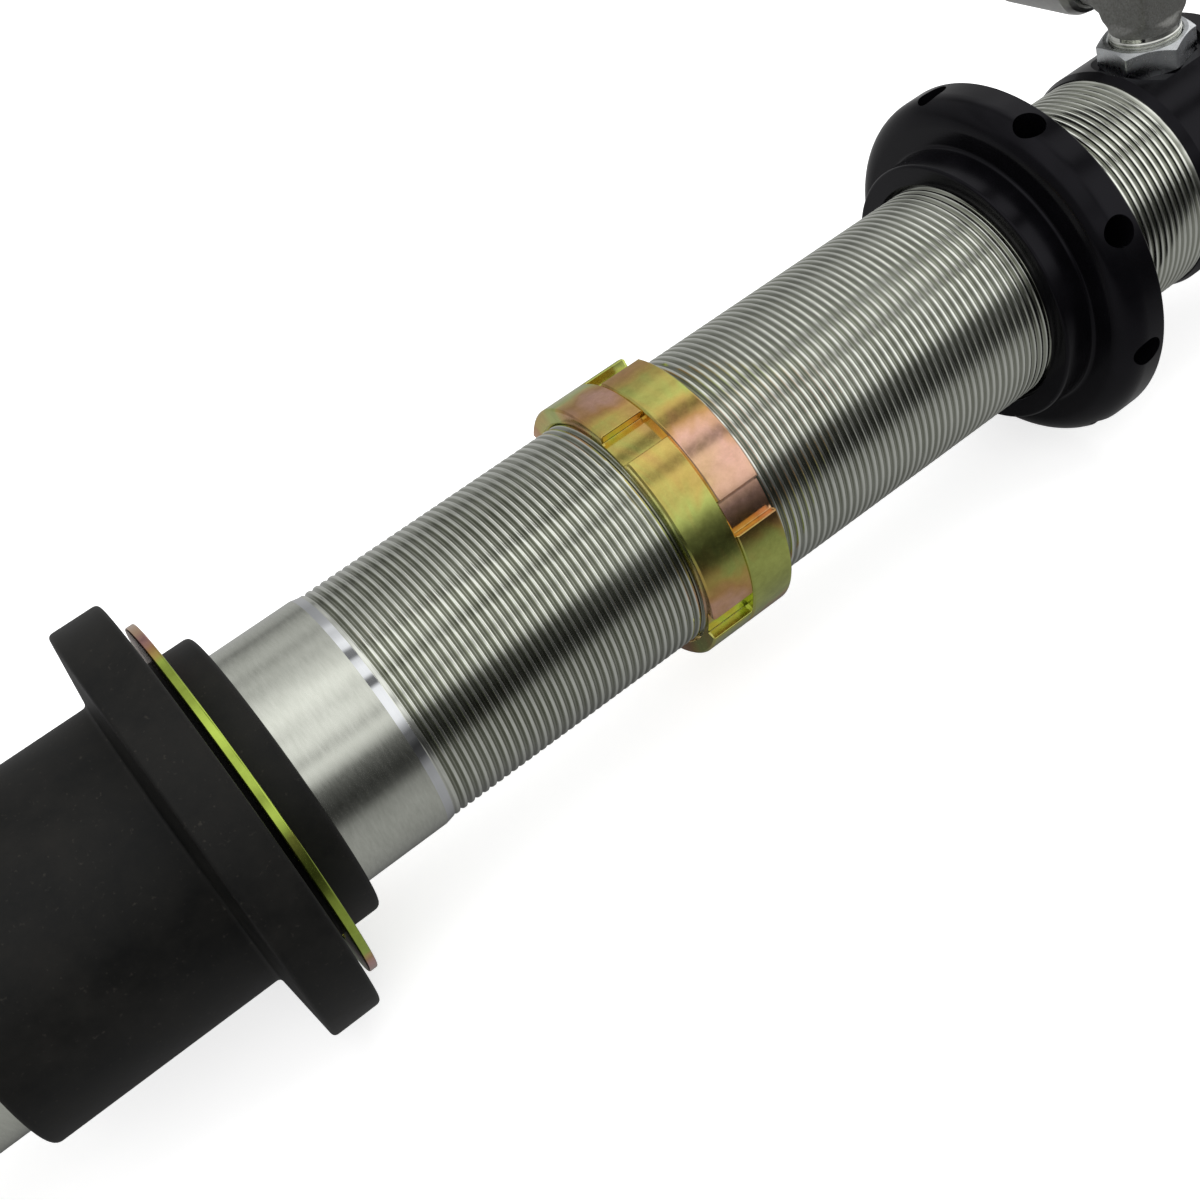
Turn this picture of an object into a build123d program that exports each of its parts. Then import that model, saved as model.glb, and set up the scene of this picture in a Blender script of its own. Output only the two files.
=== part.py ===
from build123d import *
import os
from math import sqrt

# Coilover shock, lying along x at full extension, in millimetres.
# The origin is the centre of the upper eye. x runs down the shock towards the lower eye,
# y runs along the eye bolts and z points up through the hose port.

# Fits, all radial
RUNNING_GAP = 0.05
SLIDER_GAP = 0.08
SEATED_GAP = 0.02
FREE_GAP = 0.4

# Edge breaks shared by the small turned pieces
EDGE_BREAK = 1.0
FINE_BREAK = 0.5

# How far a cutting solid runs past the face it cuts
OVERCUT = 1.0

# Body tube
BODY_OD = 63.5
BODY_BORE = 57.2
THREAD_OD = 62.6
THREAD_LENGTH = 248.6
THREAD_RUNOUT = 2.2
SMOOTH_LENGTH = 154.4
TUBE_END_CHAMFER = 0.8

# Body cap
EYE_TO_CAP_FACE = 81.0
CAP_OD = 65.0
CAP_BARREL_LENGTH = 38.0
CAP_LIP = 2.4
CAP_LIP_STEP = 0.9
CAP_BACK_CHAMFER = 1.5
NECK_OD = 43.0
NECK_FILLET = 12.0
SPIGOT_LENGTH = 14.0
SPIGOT_BORE = 38.0
SPIGOT_BORE_DEPTH = 17.0
CAP_ORING_WIDTH = 3.2
CAP_ORING_DEPTH = 2.2
GALLERY_R = 5.5
AXIAL_GALLERY_R = 5.0

# Eyes and spherical bearings, alike at both ends
EYE_R = 25.4
EYE_WIDTH = 31.8
EYE_CHAMFER = 1.0
EYE_SHANK_START = 24.0
RACE_OD = 36.5
RACE_WIDTH = 17.8
BALL_D = 30.2
BALL_WIDTH = 22.2
BALL_BORE = 19.05
SNAP_RING_WIDTH = 1.3
SNAP_GROOVE_DEPTH = 1.0
SNAP_RING_HEIGHT = 2.8
SPACER_SPAN = 38.1
SPACER_SHOULDER_R = 10.1
SPACER_END_R = 12.6
SPACER_END_LAND = 1.5
SPACER_SPLIT = 1.0
BOLT_BORE = 12.8

# Hose port and elbow
PORT_FROM_CAP_FACE = 16.6
SPOTFACE_Z = 30.0
SPOTFACE_R = 14.5
PORT_THREAD_D = 18.6
PORT_DEPTH = 15.0
PORT_ORING_R = 11.3
PORT_ORING_HEIGHT = 2.4
BACKUP_RING_HEIGHT = 1.2
BACKUP_RING_R = 10.5
JAM_NUT_FLATS = 22.2
JAM_NUT_HEIGHT = 7.0
JAM_NUT_TURN = 18.0
JAM_NUT_BEVEL = 1.0
STEM_NECK_HEIGHT = 3.6
ELBOW_SQUARE = 16.4
ELBOW_CORNER = 3.0
ELBOW_FOOT_R = 9.2
ELBOW_FOOT_HEIGHT = 3.4
ELBOW_FOOT_TAPER = 1.6
ELBOW_THROAT_R = 4.5
ELBOW_BEND_Z = 51.2
ELBOW_ARM_R = 8.0
ELBOW_ARM_REACH = 16.0
ELBOW_BORE_R = 4.8
ELBOW_TAIL_R = 6.4
SOCKET_START = 15.6
SOCKET_SHOULDER = 5.0
SOCKET_R = 11.4
SOCKET_LIP_R = 9.0
SOCKET_LENGTH = 27.0
SOCKET_BORE_R = 8.5
SOCKET_BORE_DEPTH = 19.0
PORT_EDGE_BREAK = 0.8

# Spring adjuster nut
NUT_FROM_CAP_FACE = 37.2
NUT_OD = 99.8
NUT_FLANGE_THICKNESS = 12.7
NUT_CORNER_R = 6.5
NUT_BACK_CHAMFER = 0.8
NUT_HUB_LENGTH = 9.3
NUT_HUB_CHAMFER = 0.8
NUT_BORE_CHAMFER = 1.0
NUT_ROOT_FILLET = 1.2
SPANNER_HOLES = 9
SPANNER_HOLE_D = 8.0
SPANNER_HOLE_DEPTH = 10.6
SPANNER_HOLE_FROM_BACK = 6.1
SPANNER_HOLE_PHASE = 21.2

# Crossover rings, two locked against each other
RINGS_FROM_CAP_FACE = 150.0
RING_OD = 71.9
RING_THICKNESS = 12.2
RING_CHAMFER = 0.5
RING_NOTCHES = 4
NOTCH_WIDTH = 9.3
NOTCH_DEPTH = 2.6
LOWER_NOTCH_PHASE = 22.4
UPPER_NOTCH_PHASE = 68.9

# Coil spring inside diameter less its running room, shared by every spring pilot
SPRING_PILOT_D = 75.8

# Dual-rate slider and its washer
SLIDER_FROM_THREAD_END = 25.3
SLIDER_COLLAR_LENGTH = 12.4
SLIDER_FLANGE_D = 110.4
SLIDER_FLANGE_THICKNESS = 12.9
SLIDER_FLANGE_CONE = 2.0
SLIDER_SLEEVE_D = 75.0
SLIDER_SLEEVE_LENGTH = 57.3
SLIDER_CHAMFER = 1.3
SLIDER_ROOT_FILLET = 1.0
WASHER_OD = 95.8
WASHER_BORE_GAP = 0.8
WASHER_THICKNESS = 2.5
WASHER_STANDOFF = 1.5
WASHER_EDGE = 0.3

# Shaft and seal head
STROKE = 305.0
SHAFT_D = 22.2
DUST_CAP_FLANGE = 4.0
DUST_CAP_OD = 61.5
DUST_CAP_SPIGOT = 6.0
LOCK_RING_WIDTH = 2.0
LOCK_RING_GROOVE = 1.2
LOCK_RING_HEIGHT = 3.2
HEAD_LENGTH = 30.0
HEAD_ORING_WIDTH = 3.2
HEAD_ORING_DEPTH = 2.2
BUSHING_WALL = 2.0
BUSHING_LENGTH = 16.0
SEAL_WALL = 4.0
SEAL_LENGTH = 6.0
SCRAPER_WALL = 3.2
SCRAPER_LENGTH = 5.0
SEAL_INSET = 2.0
SEAL_EDGE = 0.6
LOCK_RING_EDGE = 0.4
SCRAPER_LIP = 0.8

# Piston stack on the stub of the shaft
STUB_D = 15.8
TOP_OUT_GAP = 0.3
TOP_OUT_LENGTH = 12.0
TOP_OUT_R = 17.5
SHIM_THICKNESS = 1.0
SHIM_COUNT = 3
SHIM_LARGE_R = 21.0
SHIM_STEP_R = 3.2
PISTON_LENGTH = 24.0
PISTON_PORTS = 8
PISTON_PORT_D = 5.6
PISTON_PORT_CIRCLE_R = 16.4
WEAR_BAND_WIDTH = 12.0
WEAR_BAND_DEPTH = 2.0
PISTON_NUT_FLATS = 24.0
PISTON_NUT_HEIGHT = 9.5
PISTON_NUT_BEVEL = 1.2
STUB_PROUD = 1.0

# Bump stop, spring perch and rod end
BUMP_LENGTH = 26.0
BUMP_R = 20.5
BUMP_WAIST_R = 16.5
BUMP_CLEAR = 0.5
PERCH_D = 108.0
PERCH_FLANGE = 8.0
PERCH_HUB_LENGTH = 8.0
PERCH_CUP_R = 30.0
PERCH_CUP_DEPTH = 6.0
PERCH_CHAMFER = 1.2
PERCH_SEAT_DEPTH = 5.0
ROD_COLLAR_R = 20.0
ROD_COLLAR_LENGTH = 9.0
ROD_SHANK_R = 16.5
COLLAR_TO_EYE = 43.0
SHAFT_THREAD_D = 19.0
SHAFT_THREAD_LENGTH = 18.0

body_r = BODY_OD / 2
bore_r = BODY_BORE / 2
thread_r = THREAD_OD / 2
shaft_r = SHAFT_D / 2
stub_r = STUB_D / 2
race_r = RACE_OD / 2
ball_r = BALL_D / 2
pilot_r = SPRING_PILOT_D / 2

cap_face_x = EYE_TO_CAP_FACE
thread_end_x = cap_face_x + THREAD_LENGTH
tube_end_x = thread_end_x + SMOOTH_LENGTH
port_x = cap_face_x - PORT_FROM_CAP_FACE
dust_face_x = tube_end_x + DUST_CAP_FLANGE
lock_ring_x = tube_end_x - DUST_CAP_SPIGOT - LOCK_RING_WIDTH
head_end_x = lock_ring_x - HEAD_LENGTH
stack_x = head_end_x - TOP_OUT_GAP
bump_top_x = dust_face_x + STROKE + BUMP_CLEAR
cup_floor_x = bump_top_x + BUMP_LENGTH
perch_hub_x = cup_floor_x - PERCH_CUP_DEPTH
perch_seat_x = perch_hub_x + PERCH_HUB_LENGTH
perch_end_x = perch_seat_x + PERCH_FLANGE
rod_collar_x = perch_end_x - PERCH_SEAT_DEPTH
lower_eye_x = rod_collar_x + COLLAR_TO_EYE


def turned(*corners):
    """Solid of revolution about x from its (x, radius) corners."""
    return revolve(make_face(Polyline(*corners, close=True)), Axis.X)


def collar(x0, x1, inner, outer, chamfer=0.0):
    """Plain ring about x, with its two outer edges broken."""
    if not chamfer:
        return turned((x0, inner), (x0, outer), (x1, outer), (x1, inner))
    return turned(
        (x0, inner), (x0, outer - chamfer), (x0 + chamfer, outer),
        (x1 - chamfer, outer), (x1, outer - chamfer), (x1, inner),
    )


def across(x, y0, y1, inner, outer, chamfer=0.0):
    """Plain ring about the eye bolt line at x, from y0 to y1."""
    return Pos(x, y0, 0) * Rot(0, 0, 90) * collar(0, y1 - y0, inner, outer, chamfer)


def at_angle(angle, shape):
    """Turn a shape about the shock axis, from z towards y."""
    return Rot(-angle, 0, 0) * shape


def upright(shape):
    """Stand a turned shape, made along x, on the port's centre line."""
    return Pos(port_x, 0, 0) * Rot(0, -90, 0) * shape


def backwards(shape):
    """Lay a turned shape, made along x, on the elbow's arm, which runs towards -y."""
    return Pos(port_x, 0, ELBOW_BEND_Z) * Rot(0, 0, -90) * shape


# Eyes and their bearings

def eye(x, shank_x, shank_r):
    """Disc-shaped eye on a round shank that is flattened to the eye's width."""
    disc = across(x, -EYE_WIDTH / 2, EYE_WIDTH / 2, 0, EYE_R, EYE_CHAMFER)
    reach = shank_x - x
    shank = Pos(x + reach / 2, 0, 0) * Rot(0, 90, 0) * Cylinder(shank_r, abs(reach))
    return disc + (shank & Pos(x, 0, 0) * Box(EYE_R * 4, EYE_WIDTH, EYE_R * 4))


def bearing_seat(x):
    """Bore for the race and the two snap-ring grooves, to cut from an eye."""
    bore = across(x, -EYE_WIDTH, EYE_WIDTH, 0, race_r + SEATED_GAP)
    y = RACE_WIDTH / 2
    near = across(x, y, y + SNAP_RING_WIDTH, race_r - OVERCUT, race_r + SNAP_GROOVE_DEPTH)
    return bore + near + mirror(near, Plane.XZ)


def bearing_race(x):
    blank = across(x, -RACE_WIDTH / 2, RACE_WIDTH / 2, 0, race_r)
    return blank - Pos(x, 0, 0) * Sphere(ball_r + RUNNING_GAP)


def bearing_ball(x):
    blank = Pos(x, 0, 0) * (Sphere(ball_r) & Box(BALL_D, BALL_WIDTH, BALL_D))
    return blank - across(x, -BALL_WIDTH, BALL_WIDTH, 0, BALL_BORE / 2)


def snap_rings(x):
    """Internal retaining rings with their open gap at the shank side's far end."""
    groove_r = race_r + SNAP_GROOVE_DEPTH - SEATED_GAP
    ring = across(x, 0, SNAP_RING_WIDTH - SEATED_GAP, groove_r - SNAP_RING_HEIGHT, groove_r)
    ring -= Pos(x, SNAP_RING_WIDTH / 2, groove_r) * Box(SNAP_RING_HEIGHT * 2, SNAP_RING_WIDTH * 2, groove_r)
    near = Pos(0, RACE_WIDTH / 2, 0) * ring
    return Compound(children=[near, mirror(near, Plane.XZ)])


def bearing_spacers(x):
    """Pair of misalignment spacers: a sleeve in the ball and a taper to the bracket face."""
    face, end = BALL_WIDTH / 2, SPACER_SPAN / 2
    sleeve_r = BALL_BORE / 2 - RUNNING_GAP
    spacer = turned(
        (SPACER_SPLIT / 2, BOLT_BORE / 2), (SPACER_SPLIT / 2, sleeve_r), (face, sleeve_r),
        (face, SPACER_SHOULDER_R), (end - SPACER_END_LAND, SPACER_END_R), (end, SPACER_END_R),
        (end, BOLT_BORE / 2),
    )
    near = Pos(x, 0, 0) * Rot(0, 0, 90) * spacer
    return Compound(children=[near, mirror(near, Plane.XZ)])


# Body tube and cap

def body_tube():
    smooth_x = thread_end_x + THREAD_RUNOUT
    groove_r = bore_r + LOCK_RING_GROOVE
    return turned(
        (cap_face_x, bore_r), (cap_face_x, thread_r), (thread_end_x, thread_r), (smooth_x, body_r),
        (tube_end_x - TUBE_END_CHAMFER, body_r), (tube_end_x, body_r - TUBE_END_CHAMFER),
        (tube_end_x, bore_r),
        (lock_ring_x + LOCK_RING_WIDTH, bore_r), (lock_ring_x + LOCK_RING_WIDTH, groove_r),
        (lock_ring_x, groove_r), (lock_ring_x, bore_r),
    )


spigot_end_x = cap_face_x + SPIGOT_LENGTH
spigot_r = bore_r - SEATED_GAP
cap_groove_x = cap_face_x + (SPIGOT_LENGTH - CAP_ORING_WIDTH) / 2


def cap_turning():
    """Turned blank of the cap: neck, barrel with its bevelled lip, and the spigot in the tube."""
    cap_r, neck_r = CAP_OD / 2, NECK_OD / 2
    barrel_x = cap_face_x - CAP_BARREL_LENGTH
    shelf_r = neck_r + NECK_FILLET * 0.6
    groove_r = spigot_r - CAP_ORING_DEPTH
    start_x = EYE_SHANK_START
    with BuildSketch() as section:
        with BuildLine():
            Polyline((barrel_x, shelf_r), (barrel_x, cap_r - CAP_BACK_CHAMFER),
                     (barrel_x + CAP_BACK_CHAMFER, cap_r), (cap_face_x - CAP_LIP, cap_r),
                     (cap_face_x, cap_r - CAP_LIP_STEP), (cap_face_x, spigot_r), (cap_groove_x, spigot_r),
                     (cap_groove_x, groove_r), (cap_groove_x + CAP_ORING_WIDTH, groove_r),
                     (cap_groove_x + CAP_ORING_WIDTH, spigot_r), (spigot_end_x, spigot_r),
                     (spigot_end_x, 0), (start_x, 0), (start_x, neck_r), (barrel_x - NECK_FILLET, neck_r))
            RadiusArc((barrel_x - NECK_FILLET, neck_r), (barrel_x, shelf_r), NECK_FILLET * 1.25)
        make_face()
    return revolve(section.sketch, Axis.X)


def body_cap():
    cap = cap_turning() + eye(0, EYE_SHANK_START + OVERCUT, NECK_OD / 2)
    cap -= bearing_seat(0)
    cap -= collar(spigot_end_x - SPIGOT_BORE_DEPTH, spigot_end_x + OVERCUT, 0, SPIGOT_BORE / 2)
    cap -= upright(collar(SPOTFACE_Z, CAP_OD, 0, SPOTFACE_R))
    cap -= upright(collar(SPOTFACE_Z - PORT_DEPTH, CAP_OD, 0, PORT_THREAD_D / 2 + SEATED_GAP))
    cap -= upright(collar(SPOTFACE_Z - PORT_ORING_HEIGHT, CAP_OD, 0, PORT_ORING_R))
    cap -= upright(collar(0, SPOTFACE_Z, 0, GALLERY_R))
    return cap - collar(port_x, spigot_end_x, 0, AXIAL_GALLERY_R)


def cap_oring():
    gap = SEATED_GAP
    return collar(cap_groove_x + gap, cap_groove_x + CAP_ORING_WIDTH - gap,
                  spigot_r - CAP_ORING_DEPTH + gap, bore_r - gap, FINE_BREAK)


# Hose port

stem_r = PORT_THREAD_D / 2
elbow_z = SPOTFACE_Z + JAM_NUT_HEIGHT + STEM_NECK_HEIGHT


def port_oring():
    return upright(collar(SPOTFACE_Z - PORT_ORING_HEIGHT + SEATED_GAP, SPOTFACE_Z - SEATED_GAP,
                          stem_r + SEATED_GAP, PORT_ORING_R - SEATED_GAP))


def port_backup_ring():
    """Stiff ring over the O-ring, inside the jam nut's recess."""
    top = SPOTFACE_Z + BACKUP_RING_HEIGHT
    return upright(collar(SPOTFACE_Z, top, stem_r + SEATED_GAP, BACKUP_RING_R))


def hex_nut(across_flats, height, inner, bevel):
    """Hexagon along x with its corners turned off at both ends."""
    corner_r = across_flats / sqrt(3)
    blank = extrude(Plane.YZ * RegularPolygon(across_flats / 2, 6, major_radius=False), height)
    return (blank & collar(0, height, 0, corner_r, bevel)) - collar(0, height, 0, inner)


def port_jam_nut():
    nut = hex_nut(JAM_NUT_FLATS, JAM_NUT_HEIGHT, stem_r + SEATED_GAP, JAM_NUT_BEVEL)
    nut -= collar(-OVERCUT, BACKUP_RING_HEIGHT + SEATED_GAP, 0, BACKUP_RING_R + SEATED_GAP)
    spin = Rot(0, 0, JAM_NUT_TURN)
    return Pos(port_x, 0, SPOTFACE_Z) * spin * Rot(0, -90, 0) * nut


def elbow_throat():
    """Concave run-out between the elbow's block and its arm, no wider than the block."""
    face, flare_r = ELBOW_SQUARE / 2, ELBOW_ARM_R + ELBOW_THROAT_R
    end = face + ELBOW_THROAT_R
    with BuildSketch() as section:
        with BuildLine():
            CenterArc((end, flare_r), ELBOW_THROAT_R, 180, 90)
            Polyline((end, ELBOW_ARM_R), (end, 0), (0, 0), (0, flare_r), (face, flare_r))
        make_face()
    flare = backwards(revolve(section.sketch, Axis.X))
    height = ELBOW_BEND_Z + face - elbow_z
    limits = Box(ELBOW_SQUARE, end * 2, height, align=(Align.CENTER, Align.CENTER, Align.MIN))
    return flare & Pos(port_x, 0, elbow_z) * limits


def elbow_fitting():
    """Forged elbow: a rounded square block on a turned stem, with a round arm and a hose tail."""
    stem = upright(collar(SPOTFACE_Z - PORT_DEPTH + SEATED_GAP, elbow_z, 0, stem_r, PORT_EDGE_BREAK))
    top_z = ELBOW_BEND_Z + ELBOW_SQUARE / 2
    block = extrude(RectangleRounded(ELBOW_SQUARE, ELBOW_SQUARE, ELBOW_CORNER), top_z - elbow_z)
    heel = block.faces().sort_by(Axis.Z)[-1].edges()
    block = Pos(port_x, 0, elbow_z) * fillet(heel, ELBOW_CORNER * 0.9)
    foot_top = elbow_z + ELBOW_FOOT_HEIGHT
    taper_z = foot_top - ELBOW_FOOT_TAPER
    foot = upright(turned((elbow_z, 0), (elbow_z, ELBOW_FOOT_R), (taper_z, ELBOW_FOOT_R),
                          (foot_top, ELBOW_SQUARE / 2), (foot_top, 0)))
    arm = backwards(collar(0, ELBOW_ARM_REACH, 0, ELBOW_ARM_R, PORT_EDGE_BREAK))
    tail_end = SOCKET_START + SOCKET_LENGTH - SOCKET_BORE_DEPTH
    tail = backwards(collar(0, tail_end, 0, ELBOW_TAIL_R))
    elbow = stem + block + foot + elbow_throat() + arm + tail
    elbow -= upright(collar(0, ELBOW_BEND_Z, 0, ELBOW_BORE_R))
    return elbow - backwards(collar(-ELBOW_BORE_R, tail_end + OVERCUT, 0, ELBOW_BORE_R))


def hose_socket():
    """Crimp socket of the hose: rounded shoulder behind, open mouth in front."""
    mouth = SOCKET_START + SOCKET_LENGTH
    floor = mouth - SOCKET_BORE_DEPTH
    back_r = ELBOW_ARM_R + SEATED_GAP
    seat = ELBOW_ARM_REACH + SEATED_GAP
    tail_r = ELBOW_TAIL_R + SEATED_GAP
    shoulder, lip = (SOCKET_START + SOCKET_SHOULDER, SOCKET_R), (SOCKET_START, SOCKET_LIP_R)
    with BuildSketch() as section:
        with BuildLine():
            Polyline(shoulder, (mouth - PORT_EDGE_BREAK, SOCKET_R), (mouth, SOCKET_R - PORT_EDGE_BREAK),
                     (mouth, SOCKET_BORE_R), (floor, SOCKET_BORE_R), (floor, tail_r),
                     (seat, tail_r), (seat, back_r), (SOCKET_START, back_r), lip)
            TangentArc(shoulder, lip, tangent=(-1, 0))
        make_face()
    return backwards(revolve(section.sketch, Axis.X))


# Threaded collars on the body

def adjuster_nut():
    """Flanged nut: spring seat and pilot hub face down the shock, spanner holes round the rim."""
    back_x = cap_face_x + NUT_FROM_CAP_FACE
    seat_x = back_x + NUT_FLANGE_THICKNESS
    hub_x = seat_x + NUT_HUB_LENGTH
    rim_r, inner = NUT_OD / 2, thread_r + RUNNING_GAP
    nut = turned(
        (back_x, inner + NUT_BORE_CHAMFER), (back_x, rim_r - NUT_BACK_CHAMFER),
        (back_x + NUT_BACK_CHAMFER, rim_r), (seat_x, rim_r), (seat_x, pilot_r),
        (hub_x - NUT_HUB_CHAMFER, pilot_r), (hub_x, pilot_r - NUT_HUB_CHAMFER),
        (hub_x, inner + NUT_BORE_CHAMFER), (hub_x - NUT_BORE_CHAMFER, inner),
        (back_x + NUT_BORE_CHAMFER, inner),
    )
    corner = nut.edges().filter_by(GeomType.CIRCLE).filter_by(lambda e: abs(e.radius - rim_r) < 0.01)
    nut = fillet(corner.sort_by(Axis.X)[-1], NUT_CORNER_R)
    root = nut.edges().filter_by(GeomType.CIRCLE).filter_by(lambda e: abs(e.radius - pilot_r) < 0.01)
    nut = fillet(root.sort_by(Axis.X)[0], NUT_ROOT_FILLET)
    hole_x = back_x + SPANNER_HOLE_FROM_BACK
    hole = Pos(hole_x, 0, rim_r) * Cylinder(SPANNER_HOLE_D / 2, SPANNER_HOLE_DEPTH * 2)
    for k in range(SPANNER_HOLES):
        nut -= at_angle(SPANNER_HOLE_PHASE + k * 360 / SPANNER_HOLES, hole)
    return nut


def crossover_ring(x0, phase):
    """Slotted lock ring that stops the slider."""
    ring_r, inner = RING_OD / 2, thread_r + RUNNING_GAP
    x1 = x0 + RING_THICKNESS
    ring = turned(
        (x0, inner + RING_CHAMFER), (x0, ring_r - RING_CHAMFER), (x0 + RING_CHAMFER, ring_r),
        (x1 - RING_CHAMFER, ring_r), (x1, ring_r - RING_CHAMFER), (x1, inner + RING_CHAMFER),
        (x1 - RING_CHAMFER, inner), (x0 + RING_CHAMFER, inner),
    )
    notch = Pos((x0 + x1) / 2, 0, ring_r) * Box(RING_THICKNESS * 2, NOTCH_WIDTH, NOTCH_DEPTH * 2)
    for k in range(RING_NOTCHES):
        ring -= at_angle(phase + k * 360 / RING_NOTCHES, notch)
    return ring


# Slider

collar_x = thread_end_x + SLIDER_FROM_THREAD_END
slider_flange_x = collar_x + SLIDER_COLLAR_LENGTH


def dual_rate_slider():
    """Plastic slider: short pilot towards the rings, wide flange, long sleeve towards the shaft."""
    flange_end = slider_flange_x + SLIDER_FLANGE_THICKNESS
    root_x = flange_end + SLIDER_FLANGE_CONE
    sleeve_end = root_x + SLIDER_SLEEVE_LENGTH
    inner, edge = body_r + SLIDER_GAP, SLIDER_CHAMFER
    flange_r, sleeve_r = SLIDER_FLANGE_D / 2, SLIDER_SLEEVE_D / 2
    slider = turned(
        (collar_x, inner), (collar_x, pilot_r - edge), (collar_x + edge, pilot_r),
        (slider_flange_x, pilot_r), (slider_flange_x, flange_r - edge), (slider_flange_x + edge, flange_r),
        (flange_end - edge, flange_r), (flange_end, flange_r - edge), (root_x, sleeve_r),
        (sleeve_end - edge, sleeve_r), (sleeve_end, sleeve_r - edge), (sleeve_end, inner),
    )
    root = slider.edges().filter_by(GeomType.CIRCLE).filter_by(lambda e: abs(e.radius - sleeve_r) < 0.01)
    return fillet(root.sort_by(Axis.X)[0], SLIDER_ROOT_FILLET)


def slider_washer():
    """Loose steel washer, hanging on the top of the short pilot."""
    inner = pilot_r + WASHER_BORE_GAP
    x1 = slider_flange_x - WASHER_STANDOFF
    hang = WASHER_BORE_GAP - RUNNING_GAP
    return Pos(0, 0, -hang) * collar(x1 - WASHER_THICKNESS, x1, inner, WASHER_OD / 2, WASHER_EDGE)


# Seal head, from the oil side outwards

head_groove_x = head_end_x + HEAD_LENGTH * 0.6
bushing_x = head_end_x + SEAL_INSET
seal_x = bushing_x + BUSHING_LENGTH + SEAL_INSET
scraper_x = dust_face_x - SEAL_INSET - SCRAPER_LENGTH


def seal_head():
    outer, inner = bore_r - SEATED_GAP, shaft_r + FREE_GAP
    groove_r = outer - HEAD_ORING_DEPTH
    bushing_r = shaft_r + BUSHING_WALL
    seal_r = shaft_r + SEAL_WALL
    x1 = lock_ring_x
    return turned(
        (head_end_x, inner), (head_end_x, outer), (head_groove_x, outer), (head_groove_x, groove_r),
        (head_groove_x + HEAD_ORING_WIDTH, groove_r), (head_groove_x + HEAD_ORING_WIDTH, outer),
        (x1, outer), (x1, inner), (seal_x + SEAL_LENGTH, inner), (seal_x + SEAL_LENGTH, seal_r),
        (seal_x, seal_r), (seal_x, inner), (bushing_x + BUSHING_LENGTH, inner),
        (bushing_x + BUSHING_LENGTH, bushing_r), (bushing_x, bushing_r), (bushing_x, inner),
    )


def seal_head_oring():
    gap = SEATED_GAP
    return collar(head_groove_x + gap, head_groove_x + HEAD_ORING_WIDTH - gap,
                  bore_r - HEAD_ORING_DEPTH, bore_r - gap, FINE_BREAK)


def shaft_bushing():
    return collar(bushing_x + SEATED_GAP, bushing_x + BUSHING_LENGTH - SEATED_GAP,
                  shaft_r + RUNNING_GAP, shaft_r + BUSHING_WALL - SEATED_GAP)


def shaft_seal():
    return collar(seal_x + SEATED_GAP, seal_x + SEAL_LENGTH - SEATED_GAP,
                  shaft_r + RUNNING_GAP, shaft_r + SEAL_WALL - SEATED_GAP, SEAL_EDGE)


def head_lock_ring():
    """Open wire ring that keeps the seal head in the tube."""
    outer = bore_r + LOCK_RING_GROOVE - SEATED_GAP
    ring = collar(lock_ring_x + SEATED_GAP, lock_ring_x + LOCK_RING_WIDTH - SEATED_GAP,
                  outer - LOCK_RING_HEIGHT, outer, LOCK_RING_EDGE)
    return ring - Pos(lock_ring_x, 0, outer) * Box(LOCK_RING_WIDTH * 4, LOCK_RING_HEIGHT * 2, outer)


def dust_cap():
    """Cap that closes the tube's end and holds the scraper."""
    inner, x0 = shaft_r + FREE_GAP, lock_ring_x + LOCK_RING_WIDTH
    outer, spigot = DUST_CAP_OD / 2, bore_r - SEATED_GAP
    pocket_r = shaft_r + SCRAPER_WALL
    return turned(
        (x0, inner), (x0, spigot), (tube_end_x, spigot), (tube_end_x, outer),
        (dust_face_x - EDGE_BREAK, outer), (dust_face_x, outer - EDGE_BREAK), (dust_face_x, inner),
        (scraper_x + SCRAPER_LENGTH, inner),
        (scraper_x + SCRAPER_LENGTH, pocket_r), (scraper_x, pocket_r), (scraper_x, inner),
    )


def scraper():
    x0, x1 = scraper_x + SEATED_GAP, scraper_x + SCRAPER_LENGTH - SEATED_GAP
    inner, outer = shaft_r + RUNNING_GAP, shaft_r + SCRAPER_WALL - SEATED_GAP
    return turned((x0, inner + SCRAPER_LIP), (x0, outer), (x1, outer), (x1, inner))


# Shaft and piston stack

rebound_shims_x = stack_x - TOP_OUT_LENGTH
piston_x = rebound_shims_x - SHIM_COUNT * SHIM_THICKNESS
compression_shims_x = piston_x - PISTON_LENGTH
piston_nut_x = compression_shims_x - SHIM_COUNT * SHIM_THICKNESS
stub_end_x = piston_nut_x - PISTON_NUT_HEIGHT - STUB_PROUD


def shaft():
    thread_r0, end_x = SHAFT_THREAD_D / 2, rod_collar_x + SHAFT_THREAD_LENGTH
    return turned(
        (stub_end_x, 0), (stub_end_x, stub_r - EDGE_BREAK), (stub_end_x + EDGE_BREAK, stub_r),
        (stack_x, stub_r), (stack_x, shaft_r), (rod_collar_x, shaft_r), (rod_collar_x, thread_r0),
        (end_x - EDGE_BREAK, thread_r0), (end_x, thread_r0 - EDGE_BREAK), (end_x, 0),
    )


def top_out_spacer():
    return collar(rebound_shims_x, stack_x, stub_r + SEATED_GAP, TOP_OUT_R, EDGE_BREAK)


def shims(x_large, step):
    """Stack of thin discs, largest against the piston, each next one smaller."""
    discs = []
    for k in range(SHIM_COUNT):
        x = x_large + step * k * SHIM_THICKNESS
        x0, x1 = min(x, x + step * SHIM_THICKNESS), max(x, x + step * SHIM_THICKNESS)
        discs.append(collar(x0, x1, stub_r + SEATED_GAP, SHIM_LARGE_R - k * SHIM_STEP_R))
    return Compound(children=discs)


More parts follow.
